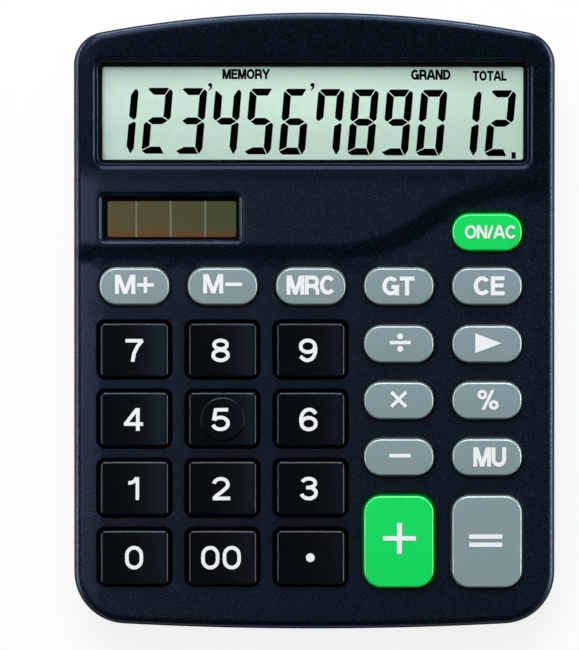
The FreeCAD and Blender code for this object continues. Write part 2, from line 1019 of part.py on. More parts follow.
def ribbon_points():
    inner_width, inner_length = holder_sizes()
    start_v = opening_centre_v - glass_length / 2 - glass_ledge / 4
    lift = front_glass_bottom + ribbon_thickness / 2
    first = display_frame.multVec(Vector(0, start_v, lift))
    leave = display_frame.multVec(Vector(0, start_v - glass_ledge - 2 * holder_wall, lift))
    back_v = board_edges()[3]
    w = board_top + ribbon_thickness / 2
    land = keyboard_frame.multVec(Vector(0, back_v - holder_wall, w))
    last = keyboard_frame.multVec(Vector(0, back_v - 3 * holder_wall, w))
    return [first, leave, land, last]


def lcd_ribbon():
    points = ribbon_points()
    path = rounded_path(points, ribbon_bend)
    a = ribbon_width / 2
    b = ribbon_thickness / 2
    along = (points[1] - points[0]).normalize()
    across = Vector(1, 0, 0)
    up = across.cross(along)
    corners = []
    for x, z in ((-a, -b), (a, -b), (a, b), (-a, b)):
        corners.append(points[0] + across * (x + display_shift) + up * z)
    section = Part.makePolygon(corners + [corners[0]])
    return one_solid(path.makePipeShell([section], True, False))


# Solar window, in the keyboard's frame raised by the deck

solar_x = -case_width / 2 + solar_side_margin + solar_width / 2
solar_v = (fold_y + solar_fold_overlap) / math.cos(key_slope) - solar_length / 2
solar_opening_inset = solar_bevel + solar_ledge
solar_cell_top = deck_raise - solar_skin


def solar_ring(inset, w):
    corner = max(solar_corner - inset, solar_corner / 3)
    width = solar_width - 2 * inset
    length = solar_length - 2 * inset
    return round_rect(solar_x, solar_v, width, length, corner, w, frame_flat_count)


def solar_cell_size():
    width = solar_width - 2 * solar_opening_inset + 2 * solar_cell_overlap
    length = solar_length - 2 * solar_opening_inset + 2 * solar_cell_overlap
    return width, length


def solar_cutter():
    """Bevelled recess over the cell, and the pocket that holds the cell from below."""
    rings = [
        solar_ring(-solar_bevel, deck_raise + solar_bevel),
        solar_ring(solar_bevel, deck_raise - solar_bevel),
        solar_ring(solar_opening_inset, solar_cell_top - pilot_gap),
    ]
    width, length = solar_cell_size()
    pocket = box(
        solar_x - width / 2 - solar_cell_gap,
        solar_x + width / 2 + solar_cell_gap,
        solar_v - length / 2 - solar_cell_gap,
        solar_v + length / 2 + solar_cell_gap,
        -top_skin - flange_thickness,
        solar_cell_top,
    )
    return on_keyboard(fuse([stack(rings), pocket]))


def solar_cell():
    width, length = solar_cell_size()
    bottom = solar_cell_top - solar_cell_thickness
    a = width / 2
    b = length / 2
    return on_keyboard(box(solar_x - a, solar_x + a, solar_v - b, solar_v + b, bottom, solar_cell_top))


def solar_leads():
    width, length = solar_cell_size()
    top = solar_cell_top - solar_cell_thickness
    wires = []
    for side in (-1, 1):
        u = solar_x + width / 2 - solar_lead_inset
        v = solar_v + side * solar_lead_spacing
        wires.append(peg(u, v, solar_lead_radius, board_top, top))
    return on_keyboard(Part.makeCompound(wires))


# Screws and bosses

head_bottom = floor_bottom + case_head_recess
head_top = head_bottom + case_head_height
post_top = floor_top + post_height


def case_boss_spots():
    overlap = rib_thickness / 4
    front = outline_front(front_boss_x, side_wall - overlap) + case_boss_radius
    back = outline_back(back_boss_x, side_wall - overlap) - case_boss_radius
    middle = fold_y + middle_boss_fold_offset
    spots = []
    for x, y in ((front_boss_x, front), (middle_boss_x, middle), (back_boss_x, back)):
        spots += [(-x, y), (x, y)]
    return spots


def case_screws():
    screws = []
    for x, y in case_boss_spots():
        head = peg(x, y, case_head_radius, head_bottom, head_top)
        end = head_top + case_screw_length
        shank = peg(x, y, case_screw_radius, head_top, end, screw_side_count)
        screws.append(fuse([head, shank]))
    return Part.makeCompound(screws)


def board_screw(u, v, under, frame):
    head = peg(u, v, board_head_radius, under - board_head_height, under, screw_side_count)
    shank = peg(u, v, board_screw_radius, under, under + board_screw_length, screw_side_count)
    return place(fuse([head, shank]), frame)


def board_screws():
    screws = []
    for u, v in board_screw_spots():
        screws.append(board_screw(u, v, board_bottom, keyboard_frame))
    for u, v in ear_spots():
        screws.append(board_screw(u, v, holder_bottom, display_frame))
    return Part.makeCompound(screws)


def small_boss(u, v, end, under, frame):
    """Boss of the top case that a small screw cuts into; its top is in the skin."""
    return place(peg(u, v, board_boss_radius, end, under, screw_side_count), frame)


def small_pilot(u, v, end, start, frame):
    tip = start + board_screw_length + pilot_extra
    return place(peg(u, v, board_screw_radius + pilot_gap, end, tip, screw_side_count), frame)


# Top case


def top_case():
    outside = case_outside()
    inside = case_inside()
    rebate_wall = side_wall - lip_thickness - lip_gap
    rebate_top = parting_height + lip_height + lip_gap
    rebate = cover_block(rebate_wall, parting_height - rib_height, rebate_top)
    lip_room = rebate.cut(cover_block(side_wall + lip_gap, parting_height - 2 * rib_height, case_length))
    holes = [display_cutter(), solar_cutter()]
    for name, u, v, style in keys:
        holes.append(key_hole(u, v, style))
    added = [display_frame_ring()] + display_hooks()
    pilots = []
    for x, y in case_boss_spots():
        added.append(peg(x, y, case_boss_radius, post_top, skin_middle(y), screw_side_count))
        tip = head_top + case_screw_length + pilot_extra
        radius = case_screw_radius + pilot_gap
        pilots.append(peg(x, y, radius, post_top, tip, screw_side_count))
    for u, v in board_screw_spots():
        added.append(small_boss(u, v, board_top, -top_skin / 2, keyboard_frame))
        pilots.append(small_pilot(u, v, board_top, board_bottom, keyboard_frame))
    for u, v in ear_spots():
        added.append(small_boss(u, v, ear_top, -ear_radius, display_frame))
        pilots.append(small_pilot(u, v, ear_top, holder_bottom, display_frame))
    inner_room = tray_block(side_wall + lip_gap, floor_top, parting_height)
    room = outside.fuse(inner_room).cut(lip_room)
    shell = outside.cut(inside).cut(rebate)
    shell = fuse([shell] + [shape.common(room) for shape in added])
    return one_solid(shell.cut(Part.makeCompound(pilots)).cut(Part.makeCompound(holes)))


def skin_middle(y):
    """Height halfway through the skin, where a boss ends."""
    if y > fold_y:
        return display_z(y, top_skin / 2)
    return keyboard_z(y, top_skin / 2)


# Bottom case, with the battery bay that the door closes

bay_x = (spring_space + contact_space + cell_length) / 2
bay_back = back_y - bay_back_margin
bay_front = bay_back - 2 * (cell_radius + bay_gap)
bay_y = (bay_back + bay_front) / 2
door_top = floor_bottom + door_thickness
bay_floor = floor_top
cell_z = bay_floor + cell_radius
bay_roof = cell_z + cell_radius + bay_gap / 2
door_half = bay_x - door_gap
door_front = bay_front + door_gap
rail_start = door_front + 2 * rail_width
rail_top = door_top


def tray_outside():
    draft = tan_degrees(tray_draft)
    depth = parting_height - floor_bottom
    low = outline(depth * draft + tray_edge_bevel, floor_bottom)
    shoulder = outline((depth - tray_edge_bevel) * draft, floor_bottom + tray_edge_bevel)
    return loft([low, shoulder, outline(0, parting_height)])


def rail_box(side, grow, back):
    x0 = side * (door_half - grow)
    x1 = side * (door_half + rail_width + grow)
    low = rail_top - rail_thickness - rail_gap * (1 if grow else 0)
    high = rail_top + (floor_top - rail_top) * (1 if grow else 0)
    start = rail_start - grow
    return box(min(x0, x1), max(x0, x1), start, back, low, high)


def door_region(grow):
    """The door's plate, and with grow the space that the floor leaves for it."""
    half = door_half + grow
    top = door_top if grow == 0 else floor_top
    return box(-half, half, door_front - grow, case_length, 0, top)


def foot_spots():
    front = front_y + foot_front_margin
    back = back_y - foot_back_margin
    return [(-foot_x, front), (foot_x, front), (-foot_x, back), (foot_x, back)]


def bottom_case():
    outside = tray_outside()
    inside = tray_block(side_wall, floor_top, parting_height + lip_height)
    shell = outside.cut(inside)
    low = parting_height - rib_height
    high = parting_height + lip_height
    lip_outer = cover_block(side_wall - lip_thickness, low, high)
    lip_inner = cover_block(side_wall, low - rib_height, high + lip_height)
    lip = lip_outer.cut(lip_inner)
    wall = bay_wall
    half = bay_x + wall
    bay = box(-half, half, bay_front - wall, bay_back + wall, floor_top, bay_roof + wall)
    shelf = box(-half, half, bay_back, back_y, floor_top, floor_top + wall)
    shelf = shelf.common(wide_tray())
    added = [lip, bay, shelf]
    removed = [
        box(-bay_x, bay_x, bay_front, bay_back, 0, bay_roof),
        door_region(door_gap),
        rail_box(-1, door_gap, case_length),
        rail_box(1, door_gap, case_length),
    ]
    for x, y in case_boss_spots():
        post = peg(x, y, case_post_radius, floor_top - rib_height, post_top, screw_side_count)
        added.append(post.common(wide_tray()))
        radius = case_screw_radius + 4 * pilot_gap
        removed.append(peg(x, y, radius, 0, post_top, screw_side_count))
        removed.append(peg(x, y, case_head_radius + counterbore_gap, 0, head_top))
    for x, y in foot_spots():
        removed.append(peg(x, y, foot_radius + pilot_gap, 0, floor_bottom + foot_seat, foot_side_count))
    for side in (-1, 1):
        slot = contact_width / 4
        inner = side * bay_x
        outer = side * (bay_x + wall)
        x0, x1 = sorted((inner, outer))
        removed.append(box(x0, x1, bay_y - slot, bay_y + slot, cell_z - slot, cell_z + slot))
    added += floor_ribs()
    return one_solid(fuse([shell] + added).cut(Part.makeCompound(removed)))


def wide_tray():
    return tray_block(side_wall / 2, floor_bottom, parting_height)


def floor_ribs():
    """Cross ribs that stiffen the floor in front of the battery bay."""
    ribs = []
    half = case_width / 2 - side_wall
    start = foot_spots()[0][1] + foot_radius + rib_height
    count = int((bay_front - start) / rib_pitch)
    for i in range(1, count + 1):
        y = start + i * rib_pitch - rib_thickness / 2
        rib = box(-half, half, y, y + rib_thickness, floor_top - rib_height / 2, floor_top + rib_height)
        ribs.append(rib.common(wide_tray()))
    return ribs


def battery_door():
    """Flat cover that slides back out of its rails; its back end is part of the case's edge."""
    plate = tray_outside().common(door_region(0))
    rails = []
    for side in (-1, 1):
        rail = rail_box(side, 0, case_length)
        rails.append(rail.common(tray_outside()))
    grooves = []
    first = back_y - grip_margin
    for i in range(grip_count):
        y = first - i * grip_pitch
        a = grip_width / 2
        grooves.append(box(-a, a, y - grip_groove, y, 0, floor_bottom + grip_depth))
    return one_solid(fuse([plate] + rails).cut(Part.makeCompound(grooves)))


def rubber_feet():
    feet = []
    for x, y in foot_spots():
        rings = []
        for radius, z in (
            (foot_radius - foot_chamfer, 0.0),
            (foot_radius, foot_chamfer),
            (foot_radius, floor_bottom + foot_seat),
        ):
            rings.append(regular_ring(Vector(x, y, z), radius, foot_side_count))
        feet.append(stack(rings))
    return Part.makeCompound(feet)


# Battery, its contacts and leads

cell_start = -bay_x + spring_space


def battery_cell():
    can_length = cell_length - cell_nub_height
    start = Vector(cell_start, bay_y, cell_z)
    can = lying_peg(start, cell_radius, Vector(can_length, 0, 0), cell_side_count)
    nub_start = start + Vector(can_length, 0, 0)
    nub = lying_peg(nub_start, cell_nub_radius, Vector(cell_nub_height, 0, 0))
    return fuse([can, nub])


def battery_contact():
    """Flat plate for the positive end, with a solder tail through the bay's wall."""
    x1 = bay_x
    x0 = x1 - contact_thickness
    a = contact_width / 2
    s = contact_width / 4 - contact_thickness / 2
    end = x1 + bay_wall + contact_thickness
    plate = box(x0, x1, bay_y - a, bay_y + a, cell_z - a, cell_z + a)
    tail = box(x0, end, bay_y - s, bay_y + s, cell_z - contact_thickness, cell_z)
    return fuse([plate, tail])


def battery_spring():
    """Bowed leaf for the negative end, with a solder tail through the bay's wall."""
    x0 = -bay_x
    t = contact_thickness
    a = contact_width / 2
    low = Vector(x0, 0, cell_z - a)
    high = Vector(x0, 0, cell_z + a)
    bow = Vector(x0 + spring_rise, 0, cell_z)
    thick = Vector(t, 0, 0)
    face = flat_face([low, low + thick, bow + thick, high + thick, high, bow])
    face.translate(Vector(0, bay_y - a, 0))
    leaf = face.extrude(Vector(0, 2 * a, 0))
    base = box(x0, x0 + t, bay_y - a, bay_y + a, cell_z - a - 2 * t, cell_z + a + 2 * t)
    s = contact_width / 4 - t / 2
    tail = box(x0 - bay_wall - t, x0 + t, bay_y - s, bay_y + s, cell_z - t, cell_z)
    return one_solid(fuse([base, leaf, tail]))


def lead_points(side):
    tail_x = side * (bay_x + bay_wall + contact_thickness)
    x = tail_x + side * lead_radius
    left, right, front, back = board_edges()
    under = keyboard_frame.multVec(Vector(0, back - lead_offset, board_bottom))
    start = Vector(x, bay_y, cell_z - contact_thickness / 2)
    turn = Vector(x, under.y + lead_bend, start.z - lead_bend / 2)
    return [start, turn, Vector(x, under.y, under.z)]


def battery_leads():
    """Two wires from the contacts' tails to the board, whose underside ends them."""
    board = circuit_board()
    wires = []
    for side in (-1, 1):
        points = lead_points(side)
        path = rounded_path(points, lead_bend)
        along = (points[1] - points[0]).normalize()
        across = Vector(1, 0, 0)
        ring = regular_ring(points[0], lead_radius, screw_side_count, across, along.cross(across))
        section = Part.makePolygon(ring + ring[:1])
        wire = one_solid(path.makePipeShell([section], True, False))
        wires.append(one_solid(wire.cut(board)))
    return Part.makeCompound(wires)


def write(name, shape):
    shape.exportStep(os.path.join("parts", name + ".step"))


def main():
    os.makedirs("parts", exist_ok=True)
    for maker in (
        top_case,
        bottom_case,
        battery_door,
        rubber_feet,
        case_screws,
        board_screws,
        display_window,
        lcd_front_glass,
        lcd_rear_glass,
        lcd_reflector,
        lcd_holder,
        lcd_ribbon,
        solar_cell,
        solar_leads,
        circuit_board,
        chip_blob,
        capacitors,
        resistors,
        diode,
        rubber_keypad,
        carbon_pills,
        battery_cell,
        battery_spring,
        battery_contact,
        battery_leads,
    ):
        write(maker.__name__, maker())
    for name, u, v, style in keys:
        write(name, key(name, u, v, style))


main()
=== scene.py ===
import math

import bmesh
import bpy
from mathutils import Matrix, Vector
from mathutils.geometry import delaunay_2d_cdt


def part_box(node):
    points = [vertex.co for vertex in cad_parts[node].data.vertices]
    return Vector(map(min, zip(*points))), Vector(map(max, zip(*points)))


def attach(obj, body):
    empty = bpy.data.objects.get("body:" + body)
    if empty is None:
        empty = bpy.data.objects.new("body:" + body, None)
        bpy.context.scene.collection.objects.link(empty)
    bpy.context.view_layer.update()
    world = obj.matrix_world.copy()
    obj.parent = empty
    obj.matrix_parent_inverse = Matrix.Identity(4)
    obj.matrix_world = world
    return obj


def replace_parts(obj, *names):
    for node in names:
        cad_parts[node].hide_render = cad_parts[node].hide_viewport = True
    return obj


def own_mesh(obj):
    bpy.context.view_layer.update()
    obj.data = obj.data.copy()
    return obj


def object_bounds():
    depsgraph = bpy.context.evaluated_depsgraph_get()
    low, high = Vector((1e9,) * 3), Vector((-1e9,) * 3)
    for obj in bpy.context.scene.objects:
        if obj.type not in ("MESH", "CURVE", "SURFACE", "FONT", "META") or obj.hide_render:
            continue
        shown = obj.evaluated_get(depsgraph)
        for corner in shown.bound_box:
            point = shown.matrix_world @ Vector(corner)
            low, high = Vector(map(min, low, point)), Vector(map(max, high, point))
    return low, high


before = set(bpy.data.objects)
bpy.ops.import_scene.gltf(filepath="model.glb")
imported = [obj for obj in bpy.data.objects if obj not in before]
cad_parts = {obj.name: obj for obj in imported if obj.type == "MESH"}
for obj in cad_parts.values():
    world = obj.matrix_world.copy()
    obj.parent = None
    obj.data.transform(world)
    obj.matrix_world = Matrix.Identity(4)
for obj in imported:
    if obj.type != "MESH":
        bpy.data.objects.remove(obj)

bl_info = {
    "name": "Desktop Solar Calculator",
    "version": (1, 0, 0),
    "blender": (4, 5, 0),
    "location": "View3D > Sidebar > Calculator",
    "description": "Dresses the packed calculator: case, keys, legends, display and stage",
    "category": "Object",
}

cad_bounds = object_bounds()
MM = 0.001

# Heights and slopes of the case, in millimetres and degrees
case_low, case_high = [corner / MM for corner in cad_bounds]
case_width = case_high.x - case_low.x
case_length = case_high.y - case_low.y
front_height = 14.0
parting_height = 8.5
keyboard_slope = math.radians(4.0)
display_slope = math.radians(16.5)
display_run = 45.9
fold_setback = 2.74
side_lean = math.tan(math.radians(0.15))
top_skin = 2.0
side_wall = 2.2
inner_corner = 0.6
seam_inset = 0.18
seam_edge = 0.05

# Case outline
front_arc_radius = 890.0
back_arc_radius = 292.0
front_corner_radius = 13.0
back_corner_radius = 8.3

# Raised deck with the wave-shaped front, and the fall of the deck beside the keys
deck_raise = 1.3
wave_run = 4.3
wave_start = Vector((4.0, 14.7))
wave_low_radius = 42.0
wave_high_radius = 56.0
wave_turn = math.radians(36.0)
wave_rounding = 0.16
flank_width = 6.5
flank_turn = 1.0
flank_slope = math.tan(math.radians(4.5))

# Fineness of the meshes: steps of arcs and corners, and points along sides
arc_steps = 90
corner_steps = 14
side_steps = 150
rim_steps = 8
dull_rim_steps = 3
well_edge_steps = 6
small_corner_steps = 8
opening_side_steps = (16, 60)
key_side_steps = (10, 16)
key_top_grid = 1.1
dish_columns = 8
disc_steps = 64

# Points that carry the top surface, close together at the fold, along the flanks and along the wave
surface_grid = 3.0
fold_rows = 26
fold_row_pitch = 0.55
fold_columns = 60
fold_column_pitch = 2.0
fold_reach = 4.5
rim_margin_across = 2.6
rim_margin_along = 4.5
flank_columns = (-0.3, 0.0, 0.35, 0.7, 1.0, 1.4, 2.2, 3.0, 3.7)
wave_rows = (-1.3, -0.7, -0.35, 0.0, 0.35, 0.7, 1.2, 1.8, 2.5, 3.1, 3.6, 3.95, 4.3, 4.65, 5.0, 5.6)
wave_row_pitch = 1.3

# Wells and keys
key_gap = 0.3
number_taper = 0.7
number_corner = 1.0
function_taper = 0.2
function_corner = 4.4
tall_trim = Vector((0.2, 0.2))
pill_trim = Vector((0.0, 0.3))
number_stretch = 0.3
key_edge_profile = ((0.06, 0.82), (0.12, 0.76), (0.8, 0.12), (0.9, 0.04), (1.0, 0.0), (1.3, 0.0))
key_rise = 3.0
key_crown = 0.12
flange_reach = 0.8
flange_top = -2.05
flange_bottom = -3.05
stem_width = 3.6
stem_bottom = -4.0
dish_margin = 0.6
dish_depth = 0.45
disc_radius = 5.5
disc_rise = 0.2
disc_edge = 0.2
disc_rings = (-0.35, -0.2, -0.14, -0.07, 0.0, 0.05, 0.2)

# Display recess: (inset, depth) from its outline on the slope down to the window
recess_width = 109.7
recess_length = 28.8
recess_corner = 2.9
recess_back_margin = 11.3
display_shift = -0.4
recess_profile = [
    (-0.45, 0.0),
    (-0.2, -0.04),
    (0.05, -0.16),
    (0.3, -0.38),
    (0.5, -0.52),
    (0.65, -0.56),
    (0.85, -0.54),
    (1.0, -0.54),
    (1.12, -0.6),
    (1.25, -0.74),
    (1.42, -1.0),
    (1.52, -1.25),
    (1.75, -1.6),
    (2.35, -3.4),
]
window_top = -3.4
recess_lean_start = -1.1

# Solar window: (inset, depth) from its outline on the deck down to the cell
solar_width = 35.8
solar_length = 12.4
solar_corner = 1.5
solar_x = -35.9
solar_profile = [
    (-0.45, 0.0),
    (-0.2, -0.05),
    (0.05, -0.18),
    (0.28, -0.36),
    (0.42, -0.55),
    (0.75, -0.95),
    (1.2, -1.5),
    (1.55, -1.9),
]
solar_floor_inset, solar_floor = solar_profile[-1]
solar_wall_lean = 0.25
# Opening of the black border on the cell, set towards the front and the right of the window: the wider
# black at the back and the left is painted shadow of the window's walls
cell_unshaded_low = Vector((-51.6, 20.92))
cell_unshaded_high = Vector((-19.5, 29.86))
cell_view_corner = 0.5
cell_count = 4
cell_pitch = 8.61
cell_shift = 0.05
cell_rust = 2.6
divider_width = 0.42
divider_height = 0.03
divider_overlap = 1.2
border_inset = 2.4
border_top = 0.035
border_bottom = 0.005

# Both openings: depth where the black paint starts, and the collar under the skin
mask_depth = -0.7
opening_least_corner = 0.4
collar_reach = 0.45
collar_drop = 0.02
collar_overlap = 0.1

# Liquid crystal digits, along the display's plane
segment_plane = -4.44
segment_height = 0.045
digit_pitch = 8.56
digit_width = 6.57
digit_length = 17.1
digit_slant = math.tan(math.radians(4.8))
digit_bar = 1.82
digit_post = 1.85
digit_gap = 0.17
digit_line_fall = 0.065
shown_digits = "123456789012"
segment_names = {
    "0": "abcdef",
    "1": "bc",
    "2": "abdeg",
    "3": "abcdg",
    "4": "bcfg",
    "5": "acdfg",
    "6": "acdefg",
    "7": "abcf",
    "8": "abcdefg",
    "9": "abcdfg",
}

# Marks on the display, in the photograph's pixels; flags from the left to the right and down
last_digit_foot = (515.9, 156.1)
point_place = (513.6, 155.4)
comma_places = ((210.3, 87.0), (312.5, 87.0))
flag_places = (
    ("MEMORY", 222.5, 269.8, 69.3, 79.3),
    ("GRAND", 411.0, 450.4, 69.8, 80.0),
    ("TOTAL", 472.6, 506.4, 71.0, 81.0),
)
digit_corner_drop = 1.1
point_size = (1.05, 1.7)

# Rubber keypad: domes as (width, length, share of them, height), up the outside and down the inside
mat_top = -6.5
mat_collar = 0.02
dome_roof = -5.65
dome_profile = [
    (8.0, 6.4, 1.0, mat_top),
    (8.0, 6.4, 0.6, -4.27),
    (8.0, 6.4, 0.55, -4.05),
    (6.4, 4.8, 0.55, dome_roof),
    (6.4, 4.8, 0.78, mat_top),
]
dome_corner = 0.8
dome_crown = 2
pill_size = Vector((2.6, 2.2))
pill_corner = 0.3
pill_thickness = 0.4

# Edges of the bottom case and its door
moulded_edge = 0.12

# Feet and case screws: (radius, height) from the lowest face's rim upwards, and their places
foot_profile = [
    (2.9, 0.25),
    (3.15, 0.07),
    (3.4, 0.0),
    (3.9, 0.0),
    (4.25, 0.1),
    (4.45, 0.32),
    (4.5, 0.6),
    (4.5, 2.2),
]
foot_sides = 40
foot_spots = [(side * 45.0, y) for side in (-1, 1) for y in (-61.9, 58.9)]
screw_profile = [
    (1.9, 1.4),
    (2.25, 1.47),
    (2.48, 1.66),
    (2.6, 1.95),
    (2.6, 3.0),
    (1.25, 3.0),
    (1.25, 10.5),
    (0.8, 11.0),
]
screw_sides = 32
right_screw_spots = ((40.0, -71.6), (50.0, 35.2), (34.0, 70.5))
case_screw_spots = [(side * x, y) for side in (-1, 1) for x, y in right_screw_spots]
cross_mouth = (1.4, 0.36)
cross_seat = (0.85, 0.24)
cross_depth = 1.2

# The photograph's frame and scale, for places read from it
pixel_frame = Vector((579, 650))
pixel_size = 0.24964
pixel_centre = Vector((314.35, 320.9))

number_names = ("0", "00", "1", "2", "3", "4", "5", "6", "7", "8", "9", "point")
tall_names = ("plus", "equals")
green_names = ("plus", "on_clear")
key_names = sorted(name[4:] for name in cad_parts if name.startswith("key_"))

# Printed legends: text, width and height in millimetres, and shift from the key's centre
text_legends = {
    "0": ("0", 4.5, 5.9, -0.1, 0.0),
    "00": ("00", 9.9, 5.9, -0.4, 0.0),
    "1": ("1", 2.7, 5.7, -0.2, 0.0),
    "2": ("2", 4.5, 5.8, -0.35, 0.0),
    "3": ("3", 4.5, 5.9, -0.45, 0.0),
    "4": ("4", 4.8, 5.7, -0.25, 0.0),
    "5": ("5", 4.6, 5.8, -0.5, 0.0),
    "6": ("6", 4.6, 5.9, -0.57, 0.0),
    "7": ("7", 4.5, 5.7, 0.0, 0.0),
    "8": ("8", 4.6, 5.9, -0.5, 0.0),
    "9": ("9", 4.6, 5.9, -0.68, 0.0),
    "memory_plus": ("M", 5.1, 4.8, -2.32, 0.52),
    "memory_minus": ("M", 5.0, 4.8, -2.35, 0.68),
    "memory_recall": ("MRC", 11.8, 4.8, -0.12, 0.35),
    "grand_total": ("GT", 8.0, 4.7, -0.12, 0.12),
    "clear_entry": ("CE", 7.7, 4.75, 0.5, 0.16),
    "mark_up": ("MU", 8.2, 4.85, 0.68, 0.08),
    "percent": ("%", 5.3, 5.0, 0.25, 0.25),
    "on_clear": ("ON/AC", 12.6, 3.3, 0.75, 0.15),
}

# Printed signs: bars (x, y, width, height) and discs (x, y, radius) about the key's centre
sign_bars = {
    "plus": [(0.15, 0.85, 8.2, 1.12), (0.15, 0.85, 1.25, 7.7)],
    "equals": [(-0.3, 1.3, 8.3, 1.1), (-0.3, -0.75, 8.3, 1.1)],
    "minus": [(0.3, 0.42, 5.3, 0.9)],
    "divide": [(0.3, 0.42, 5.2, 0.85)],
    "memory_plus": [(2.75, 0.38, 4.2, 0.85), (2.75, 0.38, 0.85, 4.0)],
    "memory_minus": [(2.75, 0.55, 4.2, 0.85)],
}
sign_discs = {
    "divide": [(0.3, 1.98, 0.74), (0.3, -1.14, 0.74)],
    "point": [(-0.1, 0.0, 1.1)],
}
times_bar = (0, 0, 5.2, 0.85)
times_shift = Vector((-0.05, 0.34))
backspace_corners = ((-2.95, -2.22), (3.6, 0.25), (-2.95, 2.72))

# Thickness of the ink, and weight of each kind of lettering as a share of its height
print_height = 0.04
print_gap = 0.004
digit_weight = 0.155
sign_weight = 0.15
word_weight = 0.185
bold_weight = 0.21
bold_words = ("GT", "CE", "MRC", "MU")
flag_weight = 0.235
digit_spacing = 0.14
word_spacing = 0.03


def to_linear(code):
    """Linear colour of an sRGB hex value."""
    channels = [int(code[i:i + 2], 16) / 255 for i in (1, 3, 5)]
    linear = [c / 12.92 if c <= 0.04045 else ((c + 0.055) / 1.055) ** 2.4 for c in channels]
    return linear + [1.0]


class CalculatorSizes(bpy.types.PropertyGroup):
    rim_radius: bpy.props.FloatProperty(
        name="Rim Radius",
        description="Rounding between the case's sides and its top",
        default=2.1 * MM,
        unit="LENGTH",
    )
    well_edge: bpy.props.FloatProperty(
        name="Well Edge",
        description="Rounding at the mouth of each key's well",
        default=0.42 * MM,
        unit="LENGTH",
    )
    number_key_edge: bpy.props.FloatProperty(
        name="Number Key Edge",
        description="Bevel of the number keys' top edge",
        default=0.33 * MM,
        unit="LENGTH",
    )
    function_key_edge: bpy.props.FloatProperty(
        name="Function Key Edge",
        description="Bevel of the other keys' top edge",
        default=0.27 * MM,
        unit="LENGTH",
    )
    grain_size: bpy.props.FloatProperty(
        name="Case Grain",
        description="Spacing of the spark-eroded grain on the case",
        default=0.35 * MM,
        unit="LENGTH",
    )


class CalculatorColours(bpy.types.PropertyGroup):
    case: bpy.props.FloatVectorProperty(
        name="Case",
        description="Dark blue-grey case plastic",
        subtype="COLOR",
        size=4,
        default=to_linear("#01050A"),
    )
    # Painted glint: a lighter blue given to the grain's tips, as if they caught the light
    case_grain_glint: bpy.props.FloatVectorProperty(
        name="Case Grain Tips",
        description="Lighter blue of the grain's tips",
        subtype="COLOR",
        size=4,
        default=to_linear("#101B2D"),
    )
    number_key: bpy.props.FloatVectorProperty(
        name="Number Keys",
        description="Near-black key plastic",
        subtype="COLOR",
        size=4,
        default=to_linear("#010204"),
    )
    grey_key: bpy.props.FloatVectorProperty(
        name="Function Keys",
        description="Mid-grey key plastic",
        subtype="COLOR",
        size=4,
        default=to_linear("#76878D"),
    )
    green_key: bpy.props.FloatVectorProperty(
        name="Green Keys",
        description="Bright green key plastic",
        subtype="COLOR",
        size=4,
        default=to_linear("#03C654"),
    )
    print: bpy.props.FloatVectorProperty(
        name="Print",
        description="White ink of the legends",
        subtype="COLOR",
        size=4,
        default=to_linear("#D6DADE"),
    )
    display: bpy.props.FloatVectorProperty(
        name="Display",
        description="Pale green-grey behind the digits",
        subtype="COLOR",
        size=4,
        default=to_linear("#E0FEF0"),
    )


def sizes():
    return bpy.context.scene.calculator_sizes


def colours():
    return bpy.context.scene.calculator_colours


# Frames of the sloping surfaces: x across, y up the slope, z off the surface


def keyboard_z(y):
    return front_height + (y + case_length / 2) * math.tan(keyboard_slope)


fold_y = case_length / 2 - display_run
fold_z = keyboard_z(fold_y)
keyboard_frame = Matrix.Translation((0, 0, keyboard_z(0))) @ Matrix.Rotation(keyboard_slope, 4, "X")
display_frame = Matrix.Translation((0, fold_y, fold_z)) @ Matrix.Rotation(display_slope, 4, "X")
recess_centre = Vector((
    display_shift,
    (case_length / 2 - recess_back_margin - fold_y) / math.cos(display_slope) - recess_length / 2,
))
solar_centre = Vector((solar_x, (fold_y + 1.0) / math.cos(keyboard_slope) - solar_length / 2))


def folded(y, raised):
    """Height of the keyboard's plane, raised, that turns up into the display slope."""
    gain = math.tan(display_slope) - math.tan(keyboard_slope)
    low = keyboard_z(y) + raised
    past = y - (fold_y + raised / gain)
    if past <= -fold_setback:
        return low
    if past >= fold_setback:
        return low + gain * past
    return low + gain * (past + fold_setback) ** 2 / (4 * fold_setback)


def wave_shape():
    """Centre of the wave's low arc, the bend between its arcs, and the centre of its high arc."""
    radial = Vector((math.sin(wave_turn), -math.cos(wave_turn)))
    low_centre = wave_start + Vector((0, wave_low_radius))
    bend = low_centre + wave_low_radius * radial
    return low_centre, bend, bend + wave_high_radius * radial


wave_low_centre, wave_bend, wave_high_centre = wave_shape()


def past_wave(x, v):
    """Distance behind the wave's foot, positive on the raised deck."""
    if x <= wave_start.x:
        return v - wave_start.y
    if x >= wave_high_centre.x:
        return v - wave_high_centre.y - wave_high_radius
    place = Vector((x, v))
    line = wave_high_centre - wave_low_centre
    above_line = line.x * (v - wave_low_centre.y) - line.y * (x - wave_low_centre.x) > 0
    past_bend = (place - wave_bend).dot(Vector((math.cos(wave_turn), math.sin(wave_turn)))) > 0
    if above_line and past_bend:
        return (place - wave_high_centre).length - wave_high_radius
    return wave_low_radius - (place - wave_low_centre).length


def ramp(t):
    """Rises from 0 to 1 over one unit, with rounded ends."""
    h = wave_rounding
    if t <= -h:
        return 0.0
    if t < h:
        return (t + h) ** 2 / (4 * h)
    if t <= 1 - h:
        return t
    if t < 1 + h:
        return 1 - (1 + h - t) ** 2 / (4 * h)
    return 1.0


def flank_drop(x):
    """Fall of the top surface beside the outermost keys, towards the case's sides."""
    past = abs(x) - (case_width / 2 - flank_width)
    if past <= 0:
        return 0.0
    if past < flank_turn:
        return flank_slope * past ** 2 / (2 * flank_turn)
    return flank_slope * (past - flank_turn / 2)


def surface_z(x, y):
    """Height of the case's top surface."""
    low = folded(y, 0.0)
    high = folded(y, deck_raise)
    share = ramp(past_wave(x, y / math.cos(keyboard_slope)) / wave_run)
    return low + (high - low) * share - flank_drop(x)


